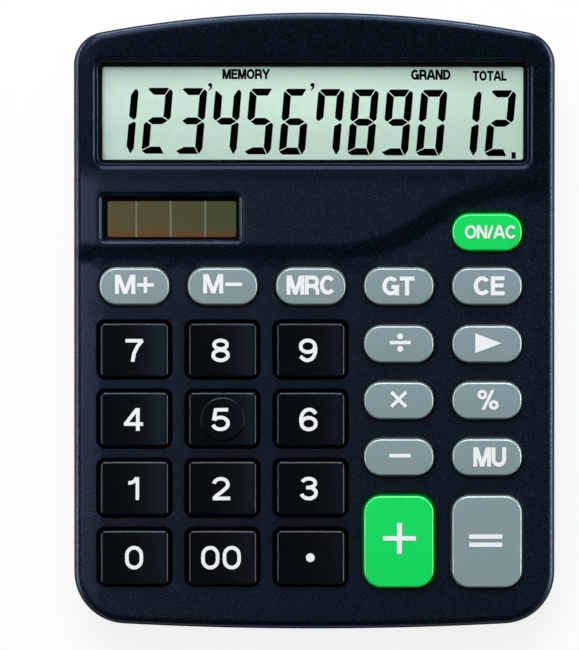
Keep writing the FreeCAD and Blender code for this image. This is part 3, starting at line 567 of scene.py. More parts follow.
def on_deck(u, v, w):
    """Point at height w off the top surface, along the keyboard's normal."""
    base = keyboard_frame @ Vector((u, v, 0))
    lift = (surface_z(base.x, base.y) - base.z) * math.cos(keyboard_slope)
    return keyboard_frame @ Vector((u, v, w + lift))


def on_keyboard(u, v, w):
    return keyboard_frame @ Vector((u, v, w))


def on_display(u, v, w):
    return display_frame @ Vector((u, v, w))


# Drafting of meshes


class Draft:
    """Points and faces of one piece, in millimetres."""

    def __init__(self):
        self.points = []
        self.faces = []
        self.finishes = {}

    def ring(self, points):
        start = len(self.points)
        self.points += [Vector(p) for p in points]
        return list(range(start, len(self.points)))

    def lay(self, shape, to_world, w):
        """Ring of a flat shape, laid at height w off a surface."""
        return self.ring([to_world(p.x, p.y, w) for p in shape])

    def bridge(self, first, second, finish_index=0):
        """Band between two rings that run anticlockwise seen from above."""
        count = len(first)
        for i in range(count):
            j = (i + 1) % count
            self.finishes[len(self.faces)] = finish_index
            self.faces.append((first[i], first[j], second[j], second[i]))

    def skin(self, rings, finish_index=0):
        """Bands between rings that follow one another."""
        for first, second in zip(rings, rings[1:]):
            self.bridge(first, second, finish_index)

    def close(self, ring, upwards=True, finish_index=0):
        self.finishes[len(self.faces)] = finish_index
        self.faces.append(tuple(ring) if upwards else tuple(reversed(ring)))

    def fill(self, outer, holes, extra, height, upwards=True):
        """Triangles between an outer ring and holes, through extra points (x, y)."""
        flat = []
        names = []
        loops = []
        for loop in [outer] + holes:
            loops.append(list(range(len(flat), len(flat) + len(loop))))
            flat += [self.points[index].to_2d() for index in loop]
            names += loop
        flat += [Vector(place) for place in extra]
        places, _, faces, place_origins, _, face_origins = delaunay_2d_cdt(flat, [], loops, 0, 1e-6, True)
        where = []
        for place, origins in zip(places, place_origins):
            if origins and origins[0] < len(names):
                where.append(names[origins[0]])
            else:
                where.append(len(self.points))
                self.points.append(Vector((place.x, place.y, height(place.x, place.y))))
        for face, origins in zip(faces, face_origins):
            if set(origins) != {0}:
                continue
            a, b, c = [places[i] for i in face]
            anticlockwise = (b.x - a.x) * (c.y - a.y) > (b.y - a.y) * (c.x - a.x)
            corners = [where[i] for i in face]
            self.faces.append(tuple(corners if anticlockwise == upwards else reversed(corners)))

    def mesh(self, name):
        """Mesh in metres, of the faces and the points that they use."""
        used = sorted({i for face in self.faces for i in face})
        renumber = {old: new for new, old in enumerate(used)}
        places = [self.points[i] * MM for i in used]
        mesh = bpy.data.meshes.new(name)
        mesh.from_pydata(places, [], [tuple(renumber[i] for i in face) for face in self.faces])
        return mesh

    def piece(self, name, finishes, body, slot, smooth=True):
        """Finished piece of the draft, which rides on a body."""
        mesh = self.mesh(name)
        for key in finishes:
            mesh.materials.append(materials[key])
        indices = [self.finishes.get(i, 0) for i in range(len(self.faces))]
        mesh.polygons.foreach_set("material_index", indices)
        mesh.validate()
        mesh.polygons.foreach_set("use_smooth", [smooth] * len(mesh.polygons))
        mesh.update()
        return added(mesh, name, body, slot)


def linked(name, data):
    """Object of a mesh, light or camera, put in the scene."""
    made = bpy.data.objects.new(name, data)
    bpy.context.scene.collection.objects.link(made)
    return made


def added(mesh, name, body, slot=None):
    """Puts a finished mesh in the scene and lets it ride on a body."""
    piece = linked(name, mesh)
    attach(piece, body)
    return piece


def even_normals(piece):
    """Large flat faces keep their own shading beside small rounded ones."""
    modifier = piece.modifiers.new("even_normals", "WEIGHTED_NORMAL")
    modifier.mode = "FACE_AREA"
    modifier.weight = 80


def round_rect(centre, width, length, corner, steps, side_points=None):
    """Anticlockwise outline (x, y) of a rectangle with round corners."""
    corner = max(corner, 0.02)
    a = width / 2 - corner
    b = length / 2 - corner
    corners = ((1, -1, (0, 1)), (1, 1, (-1, 0)), (-1, 1, (0, -1)), (-1, -1, (1, 0)))
    points = []
    for i, (sx, sy, onwards) in enumerate(corners):
        for step in range(steps + 1):
            angle = (i - 1 + step / steps) * math.pi / 2
            points.append(Vector((
                centre.x + sx * a + corner * math.cos(angle),
                centre.y + sy * b + corner * math.sin(angle),
            )))
        if side_points:
            run = 2 * (b if i % 2 == 0 else a)
            count = side_points[i % 2]
            start = points[-1]
            for k in range(1, count):
                points.append(start + Vector(onwards) * (run * k / count))
    return points


def case_outline():
    """Points of the case's outline and their outward normals."""
    half = case_width / 2
    front_centre = Vector((0, front_arc_radius - case_length / 2))
    back_centre = Vector((0, case_length / 2 - back_arc_radius))
    fx = half - front_corner_radius
    bx = half - back_corner_radius
    fy = front_centre.y - math.sqrt((front_arc_radius - front_corner_radius) ** 2 - fx ** 2)
    by = back_centre.y + math.sqrt((back_arc_radius - back_corner_radius) ** 2 - bx ** 2)
    front_turn = math.atan2(fy - front_centre.y, fx)
    back_turn = math.atan2(by - back_centre.y, bx)
    arcs_and_sides = [
        (front_centre, front_arc_radius, -math.pi - front_turn, front_turn, arc_steps),
        (Vector((fx, fy)), front_corner_radius, front_turn, 0, corner_steps),
        (None, fy, by, 1, side_steps),
        (Vector((bx, by)), back_corner_radius, 0, back_turn, corner_steps),
        (back_centre, back_arc_radius, back_turn, math.pi - back_turn, arc_steps),
        (Vector((-bx, by)), back_corner_radius, math.pi - back_turn, math.pi, corner_steps),
        (None, by, fy, -1, side_steps),
        (Vector((-fx, fy)), front_corner_radius, -math.pi, -math.pi - front_turn, corner_steps),
    ]
    places = []
    normals = []
    for centre, first, second, third, steps in arcs_and_sides:
        for i in range(steps):
            if centre is None:
                y = first + (second - first) * i / steps
                normals.append(Vector((third, 0)))
                places.append(Vector((third * half, y)))
            else:
                angle = second + (third - second) * i / steps
                normal = Vector((math.cos(angle), math.sin(angle)))
                normals.append(normal)
                places.append(centre + normal * first)
    return places, normals


outline_places, outline_normals = case_outline()


def outline_ring(inset, height):
    """Ring at a varying inset; both arguments are functions of the place (x, y)."""
    ring = []
    for place, normal in zip(outline_places, outline_normals):
        spot = place - normal * inset(place)
        ring.append(Vector((spot.x, spot.y, height(spot))))
    return ring


def key_bounds(name):
    """Centre, width and length of a key's top, read from its CAD node."""
    back = keyboard_frame.inverted()
    tops = []
    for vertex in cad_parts["key_" + name].data.vertices:
        local = back @ (vertex.co / MM)
        if local.z > key_rise - 0.02:
            tops.append(local)
    low_u = min(p.x for p in tops)
    high_u = max(p.x for p in tops)
    low_v = min(p.y for p in tops)
    high_v = max(p.y for p in tops)
    centre = Vector(((low_u + high_u) / 2, (low_v + high_v) / 2))
    return centre, high_u - low_u, high_v - low_v


def key_style(name):
    """Taper, top corner radius and trim of a key within its well."""
    if name in number_names:
        return number_taper, number_corner, Vector((0.0, 0.0))
    return function_taper, function_corner, tall_trim if name in tall_names else pill_trim


# Materials


def node(tree, kind, settings=None, links=None):
    """Adds a node with its settings and its linked inputs."""
    made = tree.nodes.new(kind)
    for key, value in (settings or {}).items():
        if isinstance(key, str) and hasattr(made, key):
            setattr(made, key, value)
        else:
            made.inputs[key].default_value = value
    for key, source in (links or {}).items():
        tree.links.new(source, made.inputs[key])
    return made


def surface(
    name,
    base,
    roughness,
    ior=1.5,
    metallic=0.0,
    shine=0.5,
    grain=0.4,
    mottle=0.0,
    spread=None,
    bump=None,
):
    """Finish whose grain, of a size in millimetres, varies its colour, roughness and height."""
    base = list(base)
    material = bpy.data.materials.new(name)
    material.use_nodes = True
    tree = material.node_tree
    shader = tree.nodes["Principled BSDF"]
    shader.inputs["Base Color"].default_value = base
    shader.inputs["Roughness"].default_value = roughness
    shader.inputs["Metallic"].default_value = metallic
    if metallic == 0:
        shader.inputs["IOR"].default_value = ior
        shader.inputs["Specular IOR Level"].default_value = shine
    if not (mottle or spread or bump):
        return material
    place = node(tree, "ShaderNodeTexCoord")
    noise = node(
        tree,
        "ShaderNodeTexNoise",
        {"Scale": 1 / (grain * MM), "Detail": 2.0},
        {"Vector": place.outputs["Object"]},
    )
    if mottle:
        dark = [c * (1 - mottle) for c in base[:3]] + [1.0]
        light = [min(c * (1 + mottle), 1.0) for c in base[:3]] + [1.0]
        mix = node(
            tree,
            "ShaderNodeMix",
            {"data_type": "RGBA", 6: dark, 7: light},
            {0: noise.outputs["Fac"]},
        )
        tree.links.new(mix.outputs[2], shader.inputs["Base Color"])
    if spread:
        varied = node(
            tree,
            "ShaderNodeMapRange",
            {"From Min": 0.3, "From Max": 0.7, "To Min": spread[0], "To Max": spread[1]},
            {"Value": noise.outputs["Fac"]},
        )
        tree.links.new(varied.outputs["Result"], shader.inputs["Roughness"])
    if bump:
        raised = node(
            tree,
            "ShaderNodeBump",
            {"Strength": bump[0], "Distance": bump[1] * MM},
            {"Height": noise.outputs["Fac"]},
        )
        tree.links.new(raised.outputs["Normal"], shader.inputs["Normal"])
    return material


def textured_abs():
    """Moulded ABS with a spark-eroded grain: dark navy, with a painted bluish glint on the grain's tips.
    """
    # The real grain is about 0.1 mm: it is drawn some three times coarser, so that it shows
    material = surface(
        "textured_abs",
        colours().case,
        0.3,
        1.53,
        shine=0.36,
        grain=sizes().grain_size / MM,
        spread=(0.28, 0.36),
        bump=(0.6, 0.06),
    )
    tree = material.node_tree
    shader = tree.nodes["Principled BSDF"]
    shader.inputs["Specular Tint"].default_value = to_linear("#B3CEFF")
    # Painted glint: the high points of the grain turn lighter blue, as though their tips caught the light
    tips = node(
        tree,
        "ShaderNodeMapRange",
        {"From Min": 0.5, "From Max": 0.7, "To Min": 0.0, "To Max": 1.0},
        {"Value": tree.nodes["Noise Texture"].outputs["Fac"]},
    )
    mix = node(
        tree,
        "ShaderNodeMix",
        {"data_type": "RGBA", 6: list(colours().case), 7: list(colours().case_grain_glint)},
        {0: tips.outputs["Result"]},
    )
    tree.links.new(mix.outputs[2], shader.inputs["Base Color"])
    return material


def polished_key_abs():
    """Near-black ABS from a polished mould: smooth and bluish where it shines, with faint waviness."""
    material = surface(
        "polished_key_abs",
        colours().number_key,
        0.3,
        1.53,
        shine=0.15,
        grain=1.6,
        spread=(0.28, 0.34),
        bump=(0.1, 0.01),
    )
    shader = material.node_tree.nodes["Principled BSDF"]
    shader.inputs["Specular Tint"].default_value = to_linear("#BCE1FF")
    return material


def satin_key_abs(name, base, shine):
    """Coloured ABS from a satin mould: even colour with a soft shine along its edges."""
    return surface(
        name,
        base,
        0.3,
        1.53,
        shine=shine,
        grain=0.25,
        mottle=0.05,
        spread=(0.27, 0.34),
        bump=(0.2, 0.015),
    )


def clear_acrylic():
    """Polished clear acrylic, so thin that it only adds a reflection."""
    material = surface("clear_acrylic", to_linear("#191D1D"), 0.04, 1.49, shine=0.25)
    material.node_tree.nodes["Principled BSDF"].inputs["Alpha"].default_value = 0.03
    return material


def amorphous_silicon():
    """Thin-film silicon behind glass: brown at the left, olive at the right, rust along the front."""
    brown = to_linear("#564A2F")
    olive = to_linear("#434A2F")
    rust = to_linear("#5E3A22")
    material = surface("amorphous_silicon", brown, 0.22, 1.52, shine=0.3, grain=0.5, spread=(0.18, 0.26))
    tree = material.node_tree
    place = node(tree, "ShaderNodeTexCoord")
    apart = node(tree, "ShaderNodeSeparateXYZ", links={"Vector": place.outputs["Object"]})
    low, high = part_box("solar_cell")
    across = node(
        tree,
        "ShaderNodeMapRange",
        {"From Min": low[0], "From Max": high[0], "To Min": 0.0, "To Max": 1.0},
        {"Value": apart.outputs["X"]},
    )
    ground = node(
        tree,
        "ShaderNodeMix",
        {"data_type": "RGBA", 6: brown, 7: olive},
        {0: across.outputs["Result"]},
    )
    rust_start = cell_unshaded_low.y * MM
    rust_end = (cell_unshaded_low.y + cell_rust) * MM
    front = node(
        tree,
        "ShaderNodeMapRange",
        {"From Min": rust_start, "From Max": rust_end, "To Min": 1.0, "To Max": 0.0},
        {"Value": apart.outputs["Y"]},
    )
    rusty = node(
        tree,
        "ShaderNodeMix",
        {"data_type": "RGBA", 7: rust},
        {0: front.outputs["Result"], 6: ground.outputs[2]},
    )
    tree.links.new(rusty.outputs[2], tree.nodes["Principled BSDF"].inputs["Base Color"])
    return material


def plain(name, code, roughness, metallic=0.0, grain=0.4, mottle=0.08):
    """A finish of one colour with a slight mottle and bump."""
    base = to_linear(code)
    bump = (0.2, 0.02)
    return surface(name, base, roughness, metallic=metallic, grain=grain, mottle=mottle, bump=bump)


materials = {}


def make_materials():
    """One material for each finish of the calculator."""
    display = colours().display
    materials["case"] = textured_abs()
    # The case's ABS on its sides, where a coarser grain takes the gloss away: a dull dark navy
    side = to_linear("#161C27")
    materials["side"] = surface(
        "coarse_side_abs", side, 0.7, 1.53, shine=0.03, grain=0.5, mottle=0.4, bump=(0.6, 0.06)
    )
    # Matt black paint on the walls round the display and the cell: no gloss at any angle
    materials["mask"] = surface(
        "matt_black_mask", to_linear("#030405"), 0.95, 1.4, shine=0.05, grain=1.0, mottle=0.2
    )
    materials["number_key"] = polished_key_abs()
    materials["grey_key"] = satin_key_abs("satin_grey_abs", colours().grey_key, 0.5)
    materials["green_key"] = satin_key_abs("satin_green_abs", colours().green_key, 0.3)
    # White pad-printed ink: flat and slightly chalky
    materials["ink"] = surface("screen_print_ink", colours().print, 0.5, grain=0.15, mottle=0.03)
    materials["window"] = clear_acrylic()
    # Front glass with its polariser film: the pale green-grey ground behind the digits, satin
    materials["glass"] = surface(
        "display_glass", display, 0.35, shine=0.2, grain=6, mottle=0.01, spread=(0.33, 0.4)
    )
    # Pearly film behind the liquid crystal: pale green-grey, diffuse
    materials["reflector"] = surface("reflector_film", display, 0.6, grain=0.2, mottle=0.02)
    # Switched segments of the display: almost black, dull
    materials["crystal"] = surface(
        "liquid_crystal", to_linear("#010101"), 0.6, shine=0.0, grain=2.0, mottle=0.2
    )
    materials["cell"] = amorphous_silicon()
    # Fired silver paste between the cells: pale, dull
    materials["silver_paste"] = plain("silver_paste", "#646B52", 0.5)
    # Moulded nitrile rubber: matt black
    materials["foot_rubber"] = plain("moulded_rubber", "#161616", 0.8, mottle=0.2)
    # Cast silicone rubber: milky grey
    materials["keypad"] = plain("silicone_rubber", "#8E8E8C", 0.55)
    # Pressed carbon-filled rubber: dull black
    materials["carbon"] = plain("carbon_rubber", "#101010", 0.85)
    # Paper phenolic laminate: tan, slightly glossy
    materials["board"] = plain("phenolic_laminate", "#A9803F", 0.4, grain=0.8, mottle=0.15)
    # Potting epoxy: glossy black
    materials["epoxy"] = plain("potting_epoxy", "#0C0C0D", 0.15)
    # Zinc-plated steel: grey, finely brushed by tumbling
    materials["screw"] = plain("zinc_plated_steel", "#8C8C88", 0.35, metallic=1.0, grain=0.2)
    # Nickel-plated spring steel: pale, warm and bright
    materials["contact"] = plain("nickel_plated_steel", "#B5B0A5", 0.3, metallic=1.0, grain=0.3)
    # Aluminium can in a shrunk vinyl sleeve: slate blue, satin
    materials["can"] = plain("sleeved_aluminium", "#3A4352", 0.35, grain=0.6)
    # Drawn glass over the diode's chip: orange, glossy
    materials["diode"] = plain("glass_diode", "#B5532A", 0.12)
    # Moulded polystyrene: black, satin
    materials["holder"] = plain("black_polystyrene", "#15161A", 0.45)
    # Cast polyimide film: amber, glossy
    materials["ribbon"] = plain("polyimide_film", "#A0762F", 0.3)
    # Extruded vinyl on the leads: dark red, satin
    materials["lead"] = plain("vinyl_sleeve", "#8C1616", 0.4)
    # Shrunk foil round the battery cell: slate, with a soft gloss
    materials["wrap"] = plain("foil_wrap", "#2E3A4E", 0.3, grain=1.2)


def finish(name, key):
    """Gives a CAD node its material."""
    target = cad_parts[name]
    target.data.materials.clear()
    target.data.materials.append(materials[key])


# Openings of the case


def recess_lean(depth):
    """Shift of the display recess's walls towards the front, so that the mould opens straight up."""
    share = max((depth - recess_lean_start) / (window_top - recess_lean_start), 0.0)
    return -window_top * math.tan(display_slope) * share


def solar_lean(depth):
    """Shift of the solar window's walls towards the front."""
    return solar_wall_lean * depth / solar_floor


class Opening:
    """Stepped opening of the case, with its outline on a surface and its profile below it."""

    def __init__(self, centre, size, profile, to_world, lean):
        self.centre = centre
        self.width, self.length, self.corner = size
        self.profile = profile
        self.to_world = to_world
        self.lean = lean

    def ring(self, draft, inset, depth, lean):
        """Ring of the outline, drawn in by the inset and shifted by the lean."""
        shape = round_rect(
            self.centre,
            self.width - 2 * inset,
            self.length - 2 * inset,
            max(self.corner - inset, opening_least_corner),
            small_corner_steps,
            opening_side_steps,
        )
        return draft.ring([self.to_world(p.x, p.y - lean, depth) for p in shape])

    def walls(self, draft):
        """Rings down the profile, with bands between them that are painted black lower down."""
        rings = [self.ring(draft, inset, depth, self.lean(depth)) for inset, depth in self.profile]
        for first, second, (_, depth) in zip(rings, rings[1:], self.profile):
            draft.bridge(first, second, 2 if depth < mask_depth else 0)
        return rings

    def footprint(self, slope):
        """Middle and half sizes of the opening seen from above, with a margin."""
        middle = self.to_world(self.centre.x, self.centre.y, 0)
        margin = 0.8
        return middle.x, middle.y, self.width / 2 + margin, self.length / 2 * math.cos(slope) + margin


recess_size = (recess_width, recess_length, recess_corner)
solar_size = (solar_width, solar_length, solar_corner)
display_recess = Opening(recess_centre, recess_size, recess_profile, on_display, recess_lean)
solar_window = Opening(solar_centre, solar_size, solar_profile, on_deck, solar_lean)


class CALCULATOR_OT_case_top(bpy.types.Operator):
    """Moulded top case with rounded rim, wells, display recess and wave-fronted deck"""

    bl_idname = "calculator.case_top"
    bl_label = "Top Case"

    def execute(self, context):
        draft = Draft()
        side = self.side(draft)
        wells = [self.well(draft, name) for name in key_names]
        recess = display_recess.walls(draft)
        solar = solar_window.walls(draft)
        mouths = [rings[0] for rings in wells + [recess, solar]]
        draft.fill(side[-1], mouths, self.surface_points(), surface_z)
        self.inner_skin(draft, side[0], [rings[-1] for rings in wells], recess[-1], solar[-1])
        piece = draft.piece("case_top", ("case", "side", "mask"), "housing", "case_plastic")
        even_normals(piece)
        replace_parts(piece, "top_case")
        return {"FINISHED"}

    def side(self, draft):
        """Rings from the seam up the side and round the rim, with the bands between them."""
        rim = sizes().rim_radius / MM

        def wall_inset(place):
            return (surface_z(place.x, place.y) - rim - parting_height) * side_lean

        rings = []
        for inset, rise in ((seam_inset, 0.0), (seam_edge, seam_edge), (0.0, seam_inset)):
            level = parting_height + rise
            rings.append(draft.ring(outline_ring(lambda p, i=inset: i, lambda p, z=level: z)))
        rings.append(draft.ring(outline_ring(
            lambda p: wall_inset(p) / 2,
            lambda p: (surface_z(p.x, p.y) - rim + parting_height) / 2,
        )))
        for step in range(rim_steps + 1):
            angle = math.pi / 2 * step / rim_steps
            inward = rim * (1 - math.cos(angle))
            drop = rim * (1 - math.sin(angle))
            rings.append(draft.ring(outline_ring(
                lambda p, i=inward: wall_inset(p) + i,
                lambda p, d=drop: surface_z(p.x, p.y) - d,
            )))
        glossy_from = len(rings) - 1 - rim_steps + dull_rim_steps
        draft.skin(rings[:glossy_from + 1], 1)
        draft.skin(rings[glossy_from:])
        return rings

    def well(self, draft, name):
        """Rings from the rounded mouth of a key's well down to the inner skin."""
        centre, width, length = key_bounds(name)
        taper, corner, _ = key_style(name)
        edge = sizes().well_edge / MM
        grow = 2 * (taper + key_gap)

        def shape(out):
            reach = 2 * out
            return round_rect(
                centre,
                width + grow + reach,
                length + grow + reach,
                corner + taper + key_gap + out,
                small_corner_steps,
            )

        rings = []
        for step in range(well_edge_steps):
            angle = math.pi / 2 * step / (well_edge_steps - 1)
            drop = edge * (1 - math.cos(angle))
            rings.append(draft.lay(shape(edge * (1 - math.sin(angle))), on_deck, -drop))
        rings.append(draft.lay(shape(0.0), on_keyboard, -top_skin))
        draft.skin(rings)
        return rings

    def surface_points(self):
        """Points inside the surface, close together where it curves."""
        key_margin = 2.0
        taken = []
        for name in key_names:
            centre, width, length = key_bounds(name)
            y = centre.y * math.cos(keyboard_slope)
            taken.append((centre.x, y, width / 2 + key_margin, length / 2 + key_margin))
        taken.append(display_recess.footprint(display_slope))
        taken.append(solar_window.footprint(0.0))

        def free(x, y):
            for middle_x, middle_y, half_width, half_length in taken:
                if abs(x - middle_x) < half_width and abs(y - middle_y) < half_length:
                    return False
            inside = abs(x) < case_width / 2 - rim_margin_across
            return inside and abs(y) < case_length / 2 - rim_margin_along

        def off_wave(x, y, margin):
            return not -margin < past_wave(x, y / math.cos(keyboard_slope)) < wave_run + margin

        points = []
        for i in range(int(case_length / surface_grid)):
            y = -case_length / 2 + surface_grid * (i + 0.5)
            if abs(y - fold_y - 2.5) < 8:
                continue
            for j in range(int(case_width / surface_grid)):
                x = -case_width / 2 + surface_grid * (j + 0.5 + 0.25 * (i % 2))
                if off_wave(x, y, 2):
                    points.append((x, y))
        for i in range(fold_rows):
            y = fold_y - fold_reach + i * fold_row_pitch
            for j in range(fold_columns):
                x = -case_width / 2 + fold_column_pitch * (j + 0.25 + 0.5 * (i % 2))
                if off_wave(x, y, 1.5):
                    points.append((x, y))
        for side in (-1, 1):
            for past in flank_columns:
                x = side * (case_width / 2 - flank_width + past)
                for i in range(int(case_length / 2)):
                    points.append((x, -case_length / 2 + 2.0 * (i + 0.5)))
        for offset in wave_rows:
            points += self.wave_row(offset)
        return [p for p in points if free(*p)]

    def wave_row(self, offset):
        """Points along the wave's foot, moved back by an offset."""
        row = []
        step = wave_row_pitch
        x = -case_width / 2
        while x < wave_start.x:
            row.append((x, (wave_start.y + offset) * math.cos(keyboard_slope)))
            x += step
        low_count = int(wave_turn * wave_low_radius / step)
        high_count = int(wave_turn * wave_high_radius / step)
        low_angles = [-math.pi / 2 + wave_turn * i / low_count for i in range(low_count + 1)]
        high_angles = [math.pi / 2 + wave_turn * (1 - i / high_count) for i in range(1, high_count + 1)]
        for centre, radius, angles in (
            (wave_low_centre, wave_low_radius - offset, low_angles),
            (wave_high_centre, wave_high_radius + offset, high_angles),
        ):
            for angle in angles:
                spot = centre + radius * Vector((math.cos(angle), math.sin(angle)))
                row.append((spot.x, spot.y * math.cos(keyboard_slope)))
        return row

    def inner_skin(self, draft, seam_ring, well_ends, recess_end, solar_end):
        """Underside of the shell, so that the case is a closed body."""
        corner = draft.ring(outline_ring(
            lambda p: side_wall + inner_corner,
            lambda p: surface_z(p.x, p.y) - top_skin,
        ))
        foot = draft.ring(outline_ring(lambda p: side_wall, lambda p: parting_height))
        draft.bridge(foot, seam_ring)
        draft.bridge(corner, foot)
        lean = recess_lean(window_top)
        collar = [recess_end]
        for depth in (window_top - collar_drop, -top_skin - collar_overlap):
            collar.append(display_recess.ring(draft, -collar_reach, depth, lean))
        draft.skin(collar)
        frame_ring = solar_window.ring(draft, -collar_reach, solar_floor - collar_drop, 0.0)
        draft.bridge(solar_end, frame_ring)
        holes = well_ends + [collar[-1], frame_ring]
        draft.fill(corner, holes, [], lambda x, y: surface_z(x, y) - top_skin, False)


class CALCULATOR_OT_keys(bpy.types.Operator):
    """Keys: dished number keys, pill-shaped function keys and the two tall keys"""

    bl_idname = "calculator.keys"
    bl_label = "Keys"

    def execute(self, context):
        for name in key_names:
            self.key(name)
        return {"FINISHED"}

    def key(self, name):
        """Keycap with its stem and flange below, tapered sides, bevelled edge and shaped top."""
        centre, width, length = key_bounds(name)
        taper, corner, trim = key_style(name)
        width -= 2 * trim.x
        length -= 2 * trim.y
        corner -= trim.y
        number = name in number_names
        edge = (sizes().number_key_edge if number else sizes().function_key_edge) / MM
        half_dish = width / 2 - dish_margin
        stretch = number_stretch if number else 0.0

        def top(u, v):
            """Height of the key's top face: a dish, or a low crown."""
            du = abs(u - centre.x)
            dv = abs(v - centre.y)
            if not number:
                return key_rise - key_crown * ((2 * du / width) ** 2 + (2 * dv / length) ** 2) / 2
            w = key_rise
            if du < half_dish:
                w -= dish_depth * (1 - (du / half_dish) ** 2)
            if name == "5":
                w += disc_rise * ramp((disc_radius - math.hypot(du, dv)) / disc_edge)
            return w

        def shape(inset, share=0.0):
            """Outline drawn in from the key's foot, with a share of its stretch."""
            return round_rect(
                centre,
                width + 2 * (taper - inset),
                length + 2 * (taper - inset + stretch * share),
                corner + taper - inset,
                small_corner_steps,
                key_side_steps if length < width else key_side_steps[::-1],
            )

        draft = Draft()
        stem = bar_shape(centre.x, centre.y, stem_width, stem_width)
        stem_low = draft.lay(stem, on_keyboard, stem_bottom)
        stem_high = draft.lay(stem, on_keyboard, flange_bottom)
        draft.close(stem_low, False)
        draft.bridge(stem_low, stem_high)
        flange = shape(-key_gap - flange_reach - trim.x)
        rings = [draft.lay(flange, on_keyboard, w) for w in (flange_bottom, flange_top)]
        draft.fill(rings[0], [stem_high], [], lambda x, y: 0.0, False)
        rise = key_rise - edge
        side_inset = taper * (rise - flange_top) / (key_rise - flange_top)
        for share, w in ((0.0, flange_top), (0.5, (flange_top + rise) / 2)):
            rings.append(draft.lay(shape(side_inset * share, share), on_keyboard, w))
        for inset, drop in ((0.0, 1.0),) + key_edge_profile:
            outline = shape(side_inset + edge * inset, 1.0)
            rings.append(draft.ring([on_keyboard(p.x, p.y, top(p.x, p.y) - edge * drop) for p in outline]))
        draft.skin(rings)

        def height(x, y):
            local = keyboard_frame.inverted() @ Vector((x, y, keyboard_z(y) + key_rise))
            return on_keyboard(local.x, local.y, top(local.x, local.y)).z

        places = []
        for u, v in self.top_spots(name, length, half_dish):
            if self.inside(u, v, width, length, corner):
                place = on_keyboard(centre.x + u, centre.y + v, key_rise)
                places.append((place.x, place.y))
        draft.fill(rings[-1], [], places, height)
        finish_key, slot = ("grey_key", "grey_key_plastic")
        if number:
            finish_key, slot = ("number_key", "black_key_plastic")
        elif name in green_names:
            finish_key, slot = ("green_key", "green_key_plastic")
        piece = draft.piece("keycap_" + name, (finish_key,), "key_" + name, slot)
        even_normals(piece)
        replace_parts(piece, "key_" + name)

    def top_spots(self, name, length, half_dish):
        """Spots of the top face about its centre: columns, and rings along the edge of the raised disc."""
        columns = [half_dish * k / dish_columns for k in range(-dish_columns, dish_columns + 1)]
        columns += [half_dish - 0.2, 0.2 - half_dish, half_dish + 0.15, -half_dish - 0.15]
        count = max(int(length / key_top_grid), 4)
        spots = [(u, length * (i / count - 0.5)) for u in columns for i in range(1, count)]
        if name == "5":
            spots = [(u, v) for u, v in spots if abs(math.hypot(u, v) - disc_radius) > 0.6]
            for offset in disc_rings:
                radius = disc_radius + offset
                for i in range(disc_steps):
                    angle = math.tau * i / disc_steps
                    spots.append((radius * math.cos(angle), radius * math.sin(angle)))
        return spots

    def inside(self, u, v, width, length, corner):
        """True well inside the top face's edge."""
        margin = 0.75
        du = max(abs(u) - (width / 2 - corner), 0)
        dv = max(abs(v) - (length / 2 - corner), 0)
        return math.hypot(du, dv) < corner - min(margin, corner / 2)


class CALCULATOR_OT_legends(bpy.types.Operator):
    """Printed legends on the keys"""

    bl_idname = "calculator.legends"
    bl_label = "Legends"

    def execute(self, context):
        for name in key_names:
            points = []
            faces = []
            if name in text_legends:
                text, width, height, across, up = text_legends[name]
                spacing = digit_spacing if name in number_names else word_spacing
                shift = Vector((across, up))
                weight = self.weight(name, text)
                add_flat(points, faces, text_shape(text, width, height, shift, weight, spacing))
            signs = self.signs(name)
            if signs:
                add_flat(points, faces, united(signs, bar_shape(0, 0, 30, 30)))
            self.print_on_key(name, points, faces)
        return {"FINISHED"}

    def weight(self, name, text):
        """Width of a legend's strokes, as a share of its height."""
        if name in number_names:
            return digit_weight
        if text == "%":
            return sign_weight
        return bold_weight if text in bold_words else word_weight

    def signs(self, name):
        """Signs made of bars, dots and a triangle, about the key's centre."""
        signs = [bar_shape(*bar) for bar in sign_bars.get(name, ())]
        signs += [disc_shape(*disc) for disc in sign_discs.get(name, ())]
        if name == "times":
            for side in (45, -45):
                signs.append([p + times_shift for p in turned(bar_shape(*times_bar), side)])
        if name == "backspace":
            signs.append([Vector(corner) for corner in backspace_corners])
        return signs

    def print_on_key(self, name, points, faces):
        """Lays a flat drawing on a key's top."""
        centre, width, _ = key_bounds(name)
        half_dish = width / 2 - dish_margin

        def height(u):
            if name in number_names:
                rise = disc_rise if name == "5" else 0.0
                return key_rise + rise - dish_depth * (1 - (u / half_dish) ** 2)
            return key_rise

        mesh = printed_mesh(
            "legend_" + name,
            points,
            faces,
            lambda p, w: on_keyboard(centre.x + p.x, centre.y + p.y, height(p.x) + w),
        )
        added(mesh, "legend_" + name, "key_" + name)


def bar_shape(x, y, width, height):
    a = width / 2
    b = height / 2
    return [Vector((x + across, y + up)) for across, up in ((-a, -b), (a, -b), (a, b), (-a, b))]


def disc_shape(x, y, radius, steps=28):
    angles = [math.tau * i / steps for i in range(steps)]
    return [Vector((x + radius * math.cos(a), y + radius * math.sin(a))) for a in angles]


def turned(shape, degrees):
    turn = Matrix.Rotation(math.radians(degrees), 2)
    return [turn @ p for p in shape]


